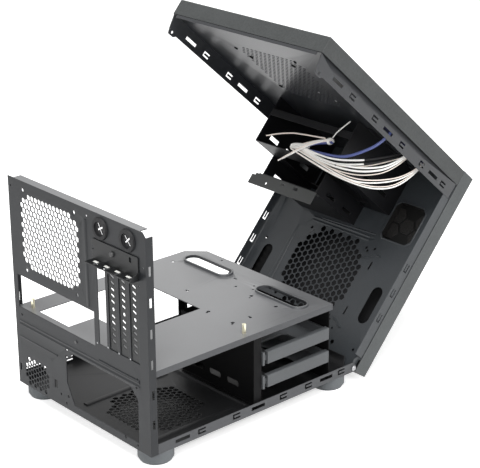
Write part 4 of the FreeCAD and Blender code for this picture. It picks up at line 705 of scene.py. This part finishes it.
def trimMesh(name, trim, turn):
    form = bmesh.new()
    for u, v, radius in trim.get("spots", []):
        ring = turnedRing(u, v, radius, trimBuild["roundSides"])
        addPrism(form, ring, trim["axis"], trim["level"] - trimBuild["sink"], trim["level"] + trim["rise"], turn)
    for low, high in trim.get("bars", []):
        ring = [(low[0], low[1]), (high[0], low[1]), (high[0], high[1]), (low[0], high[1])]
        addPrism(form, ring, "z", low[2], high[2], turn)
    obj = meshObject(name, form)
    obj.data.materials.append(coats[trim["coat"]])
    return obj


def trimCurves(name, trim, turn):
    made = []
    for number, line in enumerate(trim["lines"], 1):
        points = [turn @ placed(trim["axis"], u, v, trim["level"]) for u, v in line]
        made.append(smoothCurve(f"{name}_{number}", points, trim["radius"] * mm, trim["coat"]))
    return made


def makeTrims():
    for name, trim in trims.items():
        turn = standing[trim["body"]]
        made = trimCurves(name, trim, turn) if "lines" in trim else [trimMesh(name, trim, turn)]
        for obj in made:
            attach(obj, trim["body"])
    print("trims laid:", len(trims))


makeTrims()

# the floor's reach and drop, its painted shade under the case and the lamps are in metres
studio = {
    "floorReach": 6,
    "floorDrop": 0.0002,
    "floorRough": 0.9,
    "floorColour": (0.9, 0.9, 0.9),
    "floorGlow": 0.62,
    "shadeHalf": (0.095, 0.125),
    "shadeFade": 0.022,
    "shadeColour": (0.12, 0.12, 0.12),
    "fillStrength": 0.35,
    "glossStrength": 1.0,
    "lamps": {
        "overheadSoft": {"place": (-0.6, 0.4, 2.6), "aim": (0, -0.1, 0.2), "size": 2.0, "watts": 70},
        "cameraSoft": {"place": (-1.6, 2.2, 1.5), "aim": (0, 0, 0.25), "size": 1.4, "watts": 34},
        "sideSoft": {"place": (-2.8, -0.5, 1.2), "aim": (0, -0.1, 0.25), "size": 1.8, "watts": 30},
        "farGloss": {"place": (1.05, -0.85, 0.58), "aim": (0.04, 0, 0.12), "size": 0.5, "watts": 0.8},
    },
}


def seenOrMirrored(tree):
    rays = addNode(tree, "LightPath", {}).outputs
    seen = addNode(tree, "Math", {0: rays["Is Camera Ray"], 1: rays["Is Glossy Ray"]}, operation="MAXIMUM")
    return seen.outputs["Value"]


def makeFloor():
    form = bmesh.new()
    bmesh.ops.create_grid(form, x_segments=1, y_segments=1, size=studio["floorReach"])
    floor = meshObject("paleFloor", form)
    floor.location = (0, 0, -studio["floorDrop"])
    mat, tree, shader = newMaterial("paleFloor")
    shader.inputs["Roughness"].default_value = studio["floorRough"]
    shader.inputs["Specular IOR Level"].default_value = 0
    shader.inputs["Emission Color"].default_value = (1, 1, 1, 1)
    # painted shadow: under the case the floor's colour is darkened and its glow taken away
    place = addNode(tree, "TexCoord", {}).outputs["Object"]
    outward = addNode(tree, "VectorMath", {0: place}, operation="ABSOLUTE").outputs["Vector"]
    split = addNode(tree, "SeparateXYZ", {"Vector": outward}).outputs
    edges = [addNode(tree, "MapRange", {"Value": split[axis], "From Min": half,
                                        "From Max": half + studio["shadeFade"]}).outputs["Result"]
             for axis, half in zip("XY", studio["shadeHalf"])]
    outside = addNode(tree, "Math", {0: edges[0], 1: edges[1]}, operation="MAXIMUM").outputs["Value"]
    shade = addNode(tree, "Mix", {"Factor": outside, "A": (*studio["shadeColour"], 1),
                                  "B": (*studio["floorColour"], 1)}, data_type="RGBA")
    tree.links.new(shade.outputs["Result"], shader.inputs["Base Color"])
    masked = addNode(tree, "Math", {0: seenOrMirrored(tree), 1: outside}, operation="MULTIPLY").outputs["Value"]
    glow = addNode(tree, "Math", {0: masked, 1: studio["floorGlow"]}, operation="MULTIPLY").outputs["Value"]
    tree.links.new(glow, shader.inputs["Emission Strength"])
    floor.data.materials.append(mat)


def makeLamps():
    for name, lamp in studio["lamps"].items():
        data = bpy.data.lights.new(name, "AREA")
        data.shape = "DISK"
        data.size = lamp["size"]
        data.energy = lamp["watts"]
        obj = bpy.data.objects.new(name, data)
        obj.location = lamp["place"]
        aim = Vector(lamp["aim"]) - Vector(lamp["place"])
        obj.rotation_euler = aim.to_track_quat("-Z", "Y").to_euler()
        obj.visible_camera = False
        scene.collection.objects.link(obj)


def makeWorld():
    world = bpy.data.worlds.new("softStudio")
    scene.world = world
    world.use_nodes = True
    tree = world.node_tree
    back = tree.nodes["Background"]
    back.inputs["Color"].default_value = (1, 1, 1, 1)
    # the room is white to the eye and in shiny coats, the fill that reaches everything stays low
    level = addNode(tree, "MapRange", {"Value": seenOrMirrored(tree), "To Min": studio["fillStrength"],
                                       "To Max": studio["glossStrength"]})
    tree.links.new(level.outputs["Result"], back.inputs["Strength"])


makeFloor()
makeLamps()
makeWorld()
scene.view_settings.view_transform = "Standard"
print("studio ready")
